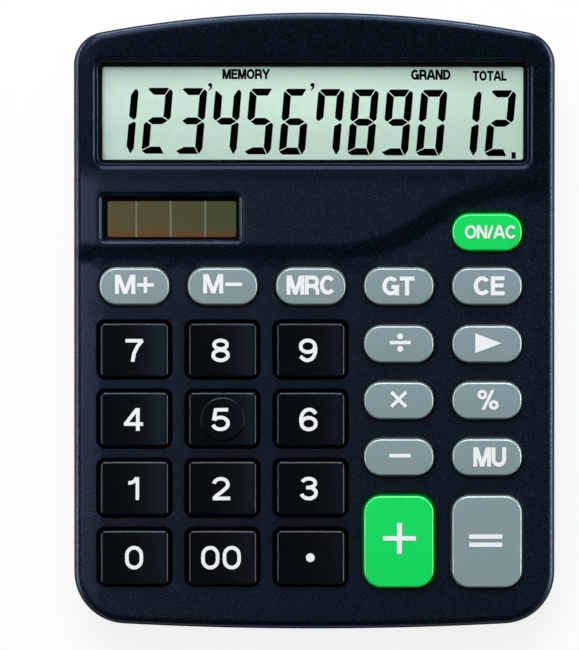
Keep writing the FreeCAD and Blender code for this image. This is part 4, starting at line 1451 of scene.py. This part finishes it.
def glyph(letter, weight):
    """Width and centre lines of a letter that is one unit tall."""
    s = weight / 2
    top = 1 - s
    stem = [(s, -0.1), (s, 1.1)]

    def bow(x, y, across, up, first, last, steps=14):
        """Centre line of an arc, in degrees, whose outer edge has the half axes across and up."""
        line = []
        for i in range(steps + 1):
            angle = math.radians(first + (last - first) * i / steps)
            line.append((x + (across - s) * math.cos(angle), y + (up - s) * math.sin(angle)))
        return line

    shapes = {
        "0": (0.78, [
            bow(0.39, 0.6, 0.39, 0.4, 0, 180) + bow(0.39, 0.4, 0.39, 0.4, 180, 360) + [(0.78 - s, 0.6)],
        ]),
        "1": (0.48, [
            [(0.48 - s, -0.1), (0.48 - s, 1.1)],
            [(-0.05, 0.74), (0.16, 0.765), (0.3, 0.85), (0.38, 1.02)],
        ]),
        "2": (0.77, [
            bow(0.38, 0.68, 0.37, 0.32, 172, -30) + [(0.42, 0.36), (0.2, 0.2), (0.1, 0.06)],
            [(0.04, s), (0.8, s)],
        ]),
        "3": (0.77, [
            bow(0.38, 0.735, 0.35, 0.265, 165, -90),
            bow(0.38, 0.275 + s / 2, 0.38, 0.275 + s / 2, 90, -170),
            [(0.27, 0.54), (0.4, 0.54)],
        ]),
        "4": (0.82, [[(0.6, -0.1), (0.6, 1.1)], [(0.62, 1.02), (0.08, 0.3)], [(0.02, 0.3), (0.9, 0.3)]]),
        "5": (0.78, [
            [(0.7, top), (0.2, top)],
            [(0.2, 0.98), (0.115, 0.46)],
            bow(0.385, 0.335, 0.39, 0.335, 145, -165),
        ]),
        "6": (0.78, [
            bow(0.4, 0.325, 0.38, 0.325, 0, 360, 24),
            bow(0.42, 0.5, 0.42, 0.5, 35, 180) + [(s, 0.4), (s + 0.03, 0.24)],
        ]),
        "7": (0.76, [[(-0.1, top), (0.72, top)], [(0.72, 0.95), (0.5, 0.66), (0.36, 0.36), (0.29, -0.1)]]),
        "8": (0.78, [bow(0.39, 0.74, 0.35, 0.26, 0, 360, 24), bow(0.39, 0.295, 0.39, 0.295, 0, 360, 24)]),
        "A": (0.88, [
            [(0.04, -0.1), (0.44, 1.0 + s)],
            [(0.84, -0.1), (0.44, 1.0 + s)],
            [(0.2, 0.32), (0.68, 0.32)],
        ]),
        "C": (0.82, [bow(0.42, 0.5, 0.42, 0.5, 38, 322, 24)]),
        "D": (0.8, [stem, [(s, top), (0.36, top)] + bow(0.36, 0.5, 0.44, 0.5, 90, -90) + [(s, s)]]),
        "E": (0.68, [stem, [(s, top), (0.7, top)], [(s, 0.52), (0.64, 0.52)], [(s, s), (0.7, s)]]),
        "G": (0.86, [
            bow(0.43, 0.5, 0.43, 0.5, 42, 335, 26),
            [(0.46, 0.45), (0.86 - s, 0.45), (0.86 - s, -0.02)],
        ]),
        "L": (0.62, [[(s, 1.1), (s, s)], [(0.0, s), (0.64, s)]]),
        "M": (0.94, [
            stem,
            [(0.94 - s, -0.1), (0.94 - s, 1.1)],
            [(s + 0.02, 1.1), (0.47, 0.02), (0.92 - s, 1.1)],
        ]),
        "N": (0.78, [stem, [(0.78 - s, -0.1), (0.78 - s, 1.1)], [(s, 1.06), (0.78 - s, -0.06)]]),
        "O": (0.88, [bow(0.44, 0.5, 0.44, 0.5, 0, 360, 28)]),
        "R": (0.78, [
            stem,
            [(s, top), (0.48, top)] + bow(0.48, 0.73 - s / 2, 0.28, 0.27 + s / 2, 90, -90) + [(s, 0.44)],
            [(0.46, 0.44), (0.62, 0.36), (0.68, 0.2), (0.72, -0.1)],
        ]),
        "T": (0.76, [[(0.38, -0.1), (0.38, 1.0)], [(-0.1, top), (0.86, top)]]),
        "U": (0.78, [[(s, 1.1)] + bow(0.39, 0.36, 0.39, 0.36, 180, 360) + [(0.78 - s, 1.1)]]),
        "Y": (0.82, [[(0.41, -0.1), (0.41, 0.42)], [(0.0, 1.1), (0.41, 0.4), (0.82, 1.1)]]),
        "/": (0.42, [[(0.0, -0.1), (0.42, 1.1)]]),
        "%": (1.04, [
            bow(0.24, 0.76, 0.24, 0.24, 0, 360, 18),
            bow(0.8, 0.24, 0.24, 0.24, 0, 360, 18),
            [(0.24, -0.1), (0.8, 1.1)],
        ]),
    }
    shapes["9"] = (0.78, [[(0.78 - x, 1 - y) for x, y in line] for line in shapes["6"][1]])
    return shapes[letter]


def stroke(line, width):
    """Quadrilaterals that follow a line of points."""
    points = [Vector(p) for p in line]
    sides = []
    for i, here in enumerate(points):
        before = (here - points[i - 1]).normalized() if i else None
        after = (points[i + 1] - here).normalized() if i + 1 < len(points) else None
        first = before or after
        second = after or before
        normal = Vector((-first.y - second.y, first.x + second.x)).normalized()
        reach = width / 2 / max(normal.dot(Vector((-first.y, first.x))), 0.3)
        sides.append((here + normal * reach, here - normal * reach))
    return [[a[0], a[1], b[1], b[0]] for a, b in zip(sides, sides[1:])]


def united(polygons, limits):
    """Points and triangles of the union of polygons, cut to a polygon of limits."""
    points = []
    faces = []
    for polygon in [limits] + polygons:
        faces.append(list(range(len(points), len(points) + len(polygon))))
        points += polygon
    places, _, triangles, _, _, origins = delaunay_2d_cdt(points, [], faces, 0, 1e-5, True)
    kept = [tuple(face) for face, froms in zip(triangles, origins) if 0 in froms and len(froms) > 1]
    return places, kept


def text_shape(text, width, height, shift, weight, spacing=word_spacing):
    """Flat drawing (points, faces) of a text, fitted to a width and a height about a shift."""
    points = []
    faces = []
    across = 0.0
    for letter in text:
        wide, lines = glyph(letter, weight)
        quads = [quad for line in lines for quad in stroke(line, weight)]
        places, triangles = united(quads, bar_shape(wide / 2, 0.5, wide, 1))
        add_flat(points, faces, ([place + Vector((across, 0)) for place in places], triangles))
        across += wide + spacing
    used = sorted({i for face in faces for i in face})
    low = min(points[i].x for i in used)
    high = max(points[i].x for i in used)
    placed = []
    for p in points:
        x = (p.x - (low + high) / 2) * width / (high - low)
        placed.append(Vector((x, (p.y - 0.5) * height)) + shift)
    return placed, faces


def add_flat(points, faces, flat):
    """Adds an outline or a (points, faces) pair to a flat drawing."""
    more, shapes = flat if isinstance(flat, tuple) else (flat, [range(len(flat))])
    start = len(points)
    points += more
    faces += [tuple(start + i for i in shape) for shape in shapes]


def printed_mesh(name, points, faces, to_world, material="ink", depth=print_height):
    """Thin body of a flat drawing, laid on a surface."""
    work = bmesh.new()
    corners = [work.verts.new((p.x, p.y, 0)) for p in points]
    for face in faces:
        work.faces.new([corners[i] for i in face])
    loose = [corner for corner in work.verts if not corner.link_faces]
    bmesh.ops.delete(work, geom=loose, context="VERTS")
    bmesh.ops.recalc_face_normals(work, faces=work.faces)
    for face in work.faces:
        if face.normal.z < 0:
            face.normal_flip()
    result = bmesh.ops.extrude_face_region(work, geom=list(work.faces))
    for item in result["geom"]:
        if isinstance(item, bmesh.types.BMVert):
            item.co.z = depth
    bmesh.ops.recalc_face_normals(work, faces=work.faces)
    for vert in work.verts:
        w = vert.co.z + print_gap
        vert.co = to_world(Vector((vert.co.x, vert.co.y)), w) * MM
    mesh = bpy.data.meshes.new(name)
    work.to_mesh(mesh)
    work.free()
    mesh.materials.append(materials[material])
    return mesh


class CALCULATOR_OT_display(bpy.types.Operator):
    """Liquid crystal display: window, glass, reflector, digits and words"""

    bl_idname = "calculator.display"
    bl_label = "Display"

    def execute(self, context):
        for name, key in (
            ("display_window", "window"),
            ("lcd_front_glass", "glass"),
            ("lcd_rear_glass", "glass"),
            ("lcd_reflector", "reflector"),
            ("lcd_holder", "holder"),
            ("lcd_ribbon", "ribbon"),
        ):
            finish(name, key)
        points = []
        faces = []
        self.digits(points, faces)
        self.words(points, faces)
        mesh = printed_mesh(
            "display_digits",
            points,
            faces,
            lambda p, w: on_display(p.x, p.y, segment_plane + w),
            "crystal",
            segment_height,
        )
        added(mesh, "display_digits", "housing")
        return {"FINISHED"}

    def digits(self, points, faces):
        """Digits from the right to the left, the point after the last, and two raised commas."""
        foot = self.from_photo(*last_digit_foot)
        lean = (digit_length - digit_corner_drop) * digit_slant
        for i, digit in enumerate(reversed(shown_digits)):
            across = foot.x - digit_width - lean - i * digit_pitch
            corner = Vector((across, foot.y + i * digit_line_fall))
            for segment in segment_names[digit]:
                slanted = [Vector((p.x + p.y * digit_slant, p.y)) for p in self.segment(segment)]
                add_flat(points, faces, [corner + p for p in slanted])
        dot = self.from_photo(*point_place)
        add_flat(points, faces, bar_shape(dot.x, dot.y, *point_size))
        for place in comma_places:
            spot = self.from_photo(*place)
            comma = [[spot + p for p in part] for part in self.comma()]
            add_flat(points, faces, united(comma, bar_shape(0, 0, 200, 200)))

    def words(self, points, faces):
        """Indicator words, each fitted between its edges in the photograph."""
        for text, left, right, upper, lower in flag_places:
            high = self.from_photo(right, upper)
            low = self.from_photo(left, lower)
            size = high - low
            add_flat(points, faces, text_shape(text, size.x, size.y, (high + low) / 2, flag_weight))

    def from_photo(self, px, py):
        """Place on the liquid crystal of a pixel of the photograph."""
        x = (px - pixel_centre.x) * pixel_size
        y = (pixel_centre.y - py) * pixel_size
        v = (y - fold_y + segment_plane * math.sin(display_slope)) / math.cos(display_slope)
        return Vector((x, v))

    def comma(self):
        """Small raised comma: a dot and its tail."""
        tail = [(-0.1, 0.2), (-0.02, -0.2), (-0.45, -0.8), (-0.3, -1.0), (0.42, -0.25), (0.5, 0.45)]
        return [disc_shape(0, 0.5, 0.52, 16), [Vector(p) for p in tail]]

    def segment(self, letter):
        """Corners of one of the seven segments of a digit."""
        w = digit_width
        h = digit_length
        t = digit_bar
        s = digit_post
        g = digit_gap
        m = h / 2
        shapes = {
            "a": [
                (0.38, h - 0.43),
                (0.88, h),
                (w - 1.3, h),
                (w - 1.08, h - 0.2),
                (w - s - g / 2, h - t),
                (s + g / 2, h - t),
            ],
            "b": [
                (w - 0.9, h - 0.4),
                (w - s, h - t - g),
                (w - s, m + t / 2 + g),
                (w - 0.58, m + g),
                (w, m + 0.85),
                (w, h - 1.15),
                (w - 0.43, h - 0.48),
            ],
            "c": [
                (w - 0.48, m - 0.3),
                (w - s, m - t / 2 - g),
                (w - s, t + g / 2),
                (w - 0.85, 0.1),
                (w - 0.65, 0.16),
                (w, 1.4),
                (w, m - 0.75),
            ],
            "d": [
                (s + g, t),
                (w - s - g, t),
                (w - 1.04, 0.05),
                (w - 1.3, 0),
                (1.05, 0),
                (0.3, 0.52),
                (0.16, 0.85),
            ],
            "e": [(0.63, m - 0.3), (0, m - 0.85), (0, 1.0), (s, t + g), (s, m - t / 2 - g)],
            "f": [
                (0.24, h - 0.58),
                (0, h - 1.1),
                (0, m + 0.85),
                (0.68, m + g),
                (s, m + t / 2 + g),
                (s, h - t - g),
            ],
            "g": [
                (0.9, m),
                (2.1, m + t / 2),
                (w - 2.05, m + t / 2),
                (w - 0.7, m),
                (w - 2.05, m - t / 2),
                (2.1, m - t / 2),
            ],
        }
        return [Vector(corner) for corner in shapes[letter]]


def loose_source(name, draft, smooth_faces=0):
    """Object for the repeat, made of a draft whose first faces are smooth."""
    mesh = draft.mesh(name)
    mesh.polygons.foreach_set("use_smooth", [i < smooth_faces for i in range(len(draft.faces))])
    return linked(name, mesh)


def instance_on_points(name, source, places, key, body, slot):
    """Repeats a small mesh on points through Geometry Nodes and returns a plain mesh object."""
    mesh = bpy.data.meshes.new(name)
    mesh.from_pydata([p * MM for p in places], [], [])
    holder = linked(name, mesh)
    tree = bpy.data.node_groups.new(name + "_repeat", "GeometryNodeTree")
    tree.interface.new_socket("Geometry", in_out="INPUT", socket_type="NodeSocketGeometry")
    piece_socket = tree.interface.new_socket("Piece", in_out="INPUT", socket_type="NodeSocketObject")
    scale_socket = tree.interface.new_socket("Size", in_out="INPUT", socket_type="NodeSocketFloat")
    tree.interface.new_socket("Geometry", in_out="OUTPUT", socket_type="NodeSocketGeometry")
    start = node(tree, "NodeGroupInput")
    info = node(tree, "GeometryNodeObjectInfo", links={"Object": start.outputs["Piece"]})
    spread = node(
        tree,
        "GeometryNodeInstanceOnPoints",
        links={
            "Points": start.outputs["Geometry"],
            "Instance": info.outputs["Geometry"],
            "Scale": start.outputs["Size"],
        },
    )
    real = node(tree, "GeometryNodeRealizeInstances", links={"Geometry": spread.outputs["Instances"]})
    painted = node(
        tree,
        "GeometryNodeSetMaterial",
        {"Material": materials[key]},
        {"Geometry": real.outputs["Geometry"]},
    )
    node(tree, "NodeGroupOutput", links={"Geometry": painted.outputs["Geometry"]})
    modifier = holder.modifiers.new("repeat", "NODES")
    modifier.node_group = tree
    modifier[piece_socket.identifier] = source
    modifier[scale_socket.identifier] = 1.0
    bpy.context.view_layer.update()
    evaluated = holder.evaluated_get(bpy.context.evaluated_depsgraph_get())
    plain_mesh = bpy.data.meshes.new_from_object(evaluated)
    plain_mesh.name = name
    bpy.data.objects.remove(holder)
    bpy.data.objects.remove(source)
    bpy.data.node_groups.remove(tree)
    return added(plain_mesh, name, body, slot)


class CALCULATOR_OT_solar(bpy.types.Operator):
    """Solar window's cell with its printed dividers, and its border with painted shadow at the back and
    the left
    """

    bl_idname = "calculator.solar"
    bl_label = "Solar Cell"

    def execute(self, context):
        finish("solar_cell", "cell")
        finish("solar_leads", "contact")
        self.dividers()
        self.border()
        return {"FINISHED"}

    def dividers(self):
        """Silver lines between the cells."""
        turn = Matrix.Rotation(keyboard_slope, 3, "X")
        shape = bar_shape(0, 0, divider_width, solar_length - 2 * solar_floor_inset + divider_overlap)
        strip = Draft()
        low = strip.lay(shape, lambda x, y, w: turn @ Vector((x, y, w)), 0.0)
        high = strip.lay(shape, lambda x, y, w: turn @ Vector((x, y, w)), divider_height)
        strip.bridge(low, high)
        strip.close(high)
        strip.close(low, False)
        places = []
        for i in range(cell_count - 1):
            u = solar_x + cell_pitch * (i - (cell_count - 2) / 2) + cell_shift
            places.append(on_deck(u, solar_centre.y, solar_floor + print_gap))
        source = loose_source("divider", strip)
        instance_on_points("cell_dividers", source, places, "silver_paste", "housing", "tinned_wire")

    def border(self):
        """Black border printed on the cell, with a round-cornered opening; the opening sits towards the
        front and the right, so the wider black at the back and the left is painted shadow.
        """
        middle = (cell_unshaded_low + cell_unshaded_high) / 2
        size = cell_unshaded_high - cell_unshaded_low
        centre = Vector((middle.x, middle.y / math.cos(keyboard_slope)))
        opening = round_rect(centre, size.x, size.y, cell_view_corner, small_corner_steps)
        outer = round_rect(
            solar_centre,
            solar_width - border_inset,
            solar_length - border_inset,
            cell_view_corner,
            small_corner_steps,
        )
        high = solar_floor + border_top
        low = solar_floor + border_bottom
        draft = Draft()
        rings = []
        for shape, w in ((opening, high), (outer, high), (outer, low), (opening, low)):
            rings.append(draft.lay(shape, on_deck, w))
        for first, second in zip(rings, rings[1:] + rings[:1]):
            draft.bridge(second, first)
        draft.piece("cell_border", ("mask",), "housing", None, smooth=False)


def softened(name, piece_name, key, slot, body):
    """Copy of a CAD node with its edges rounded and its curves shaded smoothly."""
    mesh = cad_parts[name].data.copy()
    mesh.name = piece_name
    work = bmesh.new()
    work.from_mesh(mesh)
    bmesh.ops.remove_doubles(work, verts=work.verts, dist=1e-6)
    bmesh.ops.dissolve_limit(work, angle_limit=math.radians(0.5), verts=work.verts, edges=work.edges)
    work.to_mesh(mesh)
    work.free()
    mesh.materials.clear()
    mesh.materials.append(materials[key])
    mesh.polygons.foreach_set("use_smooth", [True] * len(mesh.polygons))
    piece = added(mesh, piece_name, body, slot)
    bevel = piece.modifiers.new("edges", "BEVEL")
    bevel.width = moulded_edge * MM
    bevel.segments = 2
    bevel.limit_method = "ANGLE"
    bevel.angle_limit = math.radians(35)
    bevel.harden_normals = False
    even_normals(piece)
    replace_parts(piece, name)


def lathed(profile, steps):
    """Draft of a turned part, with its rings, from (radius, height) places that run outwards and up."""
    angles = [math.tau * i / steps for i in range(steps)]
    draft = Draft()
    rings = []
    for radius, z in profile:
        rings.append(draft.ring([(radius * math.cos(a), radius * math.sin(a), z) for a in angles]))
    draft.skin(rings)
    draft.close(rings[-1])
    return draft, rings


def cross_ring(draft, reach, half_arm, z):
    """Ring of a cross recess."""
    corners = [Vector((reach, -half_arm)), Vector((reach, half_arm)), Vector((half_arm, half_arm))]
    shape = []
    for quarter in range(4):
        shape += turned(corners, 90 * quarter)
    return draft.ring([(p.x, p.y, z) for p in shape])


class CALCULATOR_OT_underside(bpy.types.Operator):
    """Bottom case, battery door, feet and case screws"""

    bl_idname = "calculator.underside"
    bl_label = "Underside"

    def execute(self, context):
        softened("bottom_case", "case_bottom", "case", "case_plastic", "housing")
        softened("battery_door", "door_panel", "case", "case_plastic", "door")
        self.feet()
        self.screws()
        return {"FINISHED"}

    def feet(self):
        """Feet with a round edge and a shallow hollow under each."""
        draft, rings = lathed(foot_profile, foot_sides)
        smooth_faces = len(draft.faces) - 1
        draft.close(rings[0], False)
        source = loose_source("foot", draft, smooth_faces)
        places = [Vector((x, y, 0)) for x, y in foot_spots]
        piece = instance_on_points("round_feet", source, places, "foot_rubber", "housing", "foot_rubber")
        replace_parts(piece, "rubber_feet")

    def screws(self):
        """Pan-head screws with a tapered cross recess."""
        draft, rings = lathed(screw_profile, screw_sides)
        smooth_faces = len(draft.faces) - 1
        face = screw_profile[0][1]
        mouth = cross_ring(draft, *cross_mouth, face)
        seat = cross_ring(draft, *cross_seat, face + cross_depth)
        draft.fill(rings[0], [mouth], [], lambda x, y: 0.0, False)
        draft.bridge(seat, mouth)
        draft.close(seat, False)
        source = loose_source("screw", draft, smooth_faces)
        places = [Vector((x, y, 0)) for x, y in case_screw_spots]
        piece = instance_on_points("cross_screws", source, places, "screw", "housing", "screw_steel")
        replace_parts(piece, "case_screws")


class CALCULATOR_OT_keypad(bpy.types.Operator):
    """Rubber keypad: a mat, and a dome with its carbon pill under each key"""

    bl_idname = "calculator.keypad"
    bl_label = "Keypad"

    def execute(self, context):
        self.mat()
        for name in key_names:
            self.dome(name)
        return {"FINISHED"}

    def mat(self):
        """Copy of the CAD keypad, cut off just above where its domes begin."""
        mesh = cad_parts["rubber_keypad"].data.copy()
        mesh.name = "keypad_mat"
        work = bmesh.new()
        work.from_mesh(mesh)
        bmesh.ops.remove_doubles(work, verts=work.verts, dist=1e-6)
        bmesh.ops.bisect_plane(
            work,
            geom=list(work.verts) + list(work.edges) + list(work.faces),
            plane_co=on_keyboard(0, 0, mat_top + mat_collar) * MM,
            plane_no=keyboard_frame.col[2].to_3d(),
            clear_outer=True,
        )
        rims = [edge for edge in work.edges if edge.is_boundary]
        bmesh.ops.triangle_fill(work, use_beauty=True, edges=rims)
        bmesh.ops.recalc_face_normals(work, faces=work.faces)
        work.to_mesh(mesh)
        work.free()
        mesh.materials.clear()
        mesh.materials.append(materials["keypad"])
        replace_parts(added(mesh, "keypad_mat", "housing", "keypad_rubber"), "rubber_keypad")

    def dome(self, name):
        """Dome, or a tall key's two, drawn at rest; the real one flattens as its key goes down."""
        centre, _, length = key_bounds(name)
        apart = (length + 2 * key_style(name)[0]) / 4
        foot = mat_top + mat_collar
        draft = Draft()
        for side in (-1, 1) if name in tall_names else (0,):
            spot = centre + Vector((0, side * apart))
            shell = []
            for across, along, share, w in dome_profile:
                shape = round_rect(spot, across * share, along * share, dome_corner * share, 4)
                shell.append(draft.lay(shape, on_keyboard, max(w, foot)))
            for first, second in zip(shell, shell[1:] + shell[:1]):
                if first is not shell[dome_crown]:
                    draft.bridge(first, second)
            draft.close(shell[dome_crown])
            draft.close(shell[dome_crown + 1], False)
            shape = round_rect(spot, pill_size.x, pill_size.y, pill_corner, 3)
            pill = [draft.lay(shape, on_keyboard, w) for w in (dome_roof - pill_thickness, dome_roof)]
            draft.bridge(*pill, 1)
            draft.close(pill[0], False, 1)
            draft.close(pill[1], True, 1)
        finishes = ("keypad", "carbon")
        piece = draft.piece("dome_" + name, finishes, "housing", "keypad_rubber", smooth=False)
        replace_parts(piece, "rubber_keypad", "carbon_pills")
        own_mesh(piece)


class CALCULATOR_OT_inside(bpy.types.Operator):
    """Circuit board, battery and their small parts"""

    bl_idname = "calculator.inside"
    bl_label = "Inside"

    def execute(self, context):
        for name, key in (
            ("circuit_board", "board"),
            ("chip_blob", "epoxy"),
            ("resistors", "epoxy"),
            ("capacitors", "can"),
            ("diode", "diode"),
            ("board_screws", "screw"),
            ("battery_cell", "wrap"),
            ("battery_spring", "contact"),
            ("battery_contact", "contact"),
            ("battery_leads", "lead"),
        ):
            finish(name, key)
        return {"FINISHED"}


class CALCULATOR_OT_stage(bpy.types.Operator):
    """Pale floor, soft studio lights and a camera straight above"""

    bl_idname = "calculator.stage"
    bl_label = "Stage"

    def execute(self, context):
        self.floor()
        self.lights()
        self.camera()
        return {"FINISHED"}

    def floor(self):
        """Paper that glows in a painted pool of light, brightest round the calculator."""
        draft = Draft()
        width = 3000.0
        draft.close(draft.ring([(p.x, p.y, 0) for p in bar_shape(0, 0, width, width)]))
        mesh = draft.mesh("studio_floor")
        material = surface("glowing_paper_painted_pool", to_linear("#595959"), 0.9, 1.4, shine=0.0, grain=20, mottle=0.01)
        tree = material.node_tree
        shader = tree.nodes["Principled BSDF"]
        shader.inputs["Emission Color"].default_value = to_linear("#FFFFFF")
        place = node(tree, "ShaderNodeTexCoord")
        away = node(tree, "ShaderNodeVectorMath", {"operation": "LENGTH"}, {0: place.outputs["Object"]})
        # Painted pool of light: the floor's own glow, strong near the calculator and fading further out
        painted_light_pool = node(
            tree,
            "ShaderNodeMapRange",
            {"From Min": 0.11, "From Max": 0.24, "To Min": 0.85, "To Max": 0.15},
            {"Value": away.outputs["Value"]},
        )
        tree.links.new(painted_light_pool.outputs["Result"], shader.inputs["Emission Strength"])
        mesh.materials.append(material)
        floor = linked("studio_floor", mesh)

    def lights(self):
        """Air that is brighter towards the back, and lamps that all point at the calculator."""
        world = bpy.data.worlds.new("studio_air")
        world.use_nodes = True
        tree = world.node_tree
        place = node(tree, "ShaderNodeTexCoord")
        apart = node(tree, "ShaderNodeSeparateXYZ", links={"Vector": place.outputs["Generated"]})
        fade = node(
            tree,
            "ShaderNodeMapRange",
            {"From Min": -0.6, "From Max": 0.8, "To Min": 0.02, "To Max": 0.35},
            {"Value": apart.outputs["Y"]},
        )
        air = tree.nodes["Background"]
        air.inputs["Color"].default_value = to_linear("#F9FCFF")
        tree.links.new(fade.outputs["Result"], air.inputs["Strength"])
        bpy.context.scene.world = world
        for name, place, size, power in (
            ("key_softbox", (-0.15, 0.75, 1.15), (1.4, 1.0), 18.5),
            ("back_strip", (0.0, 1.1, 0.25), (1.2, 0.22), 26.0),
            ("left_strip", (-1.0, 0.05, 0.09), (1.0, 0.14), 8.0),
            ("right_strip", (1.0, 0.05, 0.1), (1.0, 0.16), 12.5),
            ("left_panel", (-0.2, -0.03, 0.45), (0.14, 0.14), 0.33),
        ):
            light = bpy.data.lights.new(name, "AREA")
            light.shape = "RECTANGLE"
            light.size, light.size_y = size
            light.energy = power
            lamp = linked(name, light)
            lamp.location = place
            lamp.rotation_euler = (-Vector(place)).to_track_quat("-Z", "Y").to_euler()

    def camera(self):
        """Camera straight above with a long lens, framed as the photograph is."""
        bpy.context.scene.view_settings.view_transform = "Standard"
        view = pixel_frame * pixel_size * MM
        lens = bpy.data.cameras.new("camera")
        lens.sensor_fit = "VERTICAL"
        lens.sensor_height = 24.0
        lens.lens = 1000.0
        lens.clip_end = 20.0
        distance = view.y * lens.lens / lens.sensor_height
        middle_height = 20 * MM
        x = (pixel_frame.x / 2 - pixel_centre.x) * pixel_size * MM
        y = (pixel_centre.y - pixel_frame.y / 2) * pixel_size * MM
        camera = linked("camera", lens)
        camera.location = (x, y, distance + middle_height)
        bpy.context.scene.camera = camera


class CALCULATOR_PT_parts(bpy.types.Panel):
    """Lists the calculator's sizes, colours and makers"""

    bl_idname = "CALCULATOR_PT_parts"
    bl_label = "Desktop Calculator"
    bl_space_type = "VIEW_3D"
    bl_region_type = "UI"
    bl_category = "Calculator"

    def draw(self, context):
        layout = self.layout
        for group in (context.scene.calculator_sizes, context.scene.calculator_colours):
            for key in group.bl_rna.properties.keys():
                if key not in ("rna_type", "name"):
                    layout.prop(group, key)
        for maker in makers:
            layout.operator(maker.bl_idname)


makers = (
    CALCULATOR_OT_case_top,
    CALCULATOR_OT_keys,
    CALCULATOR_OT_legends,
    CALCULATOR_OT_display,
    CALCULATOR_OT_solar,
    CALCULATOR_OT_underside,
    CALCULATOR_OT_keypad,
    CALCULATOR_OT_inside,
    CALCULATOR_OT_stage,
)
classes = (CalculatorSizes, CalculatorColours) + makers + (CALCULATOR_PT_parts,)


def register():
    for cls in classes:
        bpy.utils.register_class(cls)
    bpy.types.Scene.calculator_sizes = bpy.props.PointerProperty(type=CalculatorSizes)
    bpy.types.Scene.calculator_colours = bpy.props.PointerProperty(type=CalculatorColours)


def unregister():
    del bpy.types.Scene.calculator_colours
    del bpy.types.Scene.calculator_sizes
    for cls in reversed(classes):
        bpy.utils.unregister_class(cls)


def main():
    register()
    make_materials()
    bpy.ops.calculator.case_top()
    bpy.ops.calculator.keys()
    bpy.ops.calculator.legends()
    bpy.ops.calculator.display()
    bpy.ops.calculator.solar()
    bpy.ops.calculator.underside()
    bpy.ops.calculator.keypad()
    bpy.ops.calculator.inside()
    bpy.ops.calculator.stage()


if __name__ == "__main__":
    main()
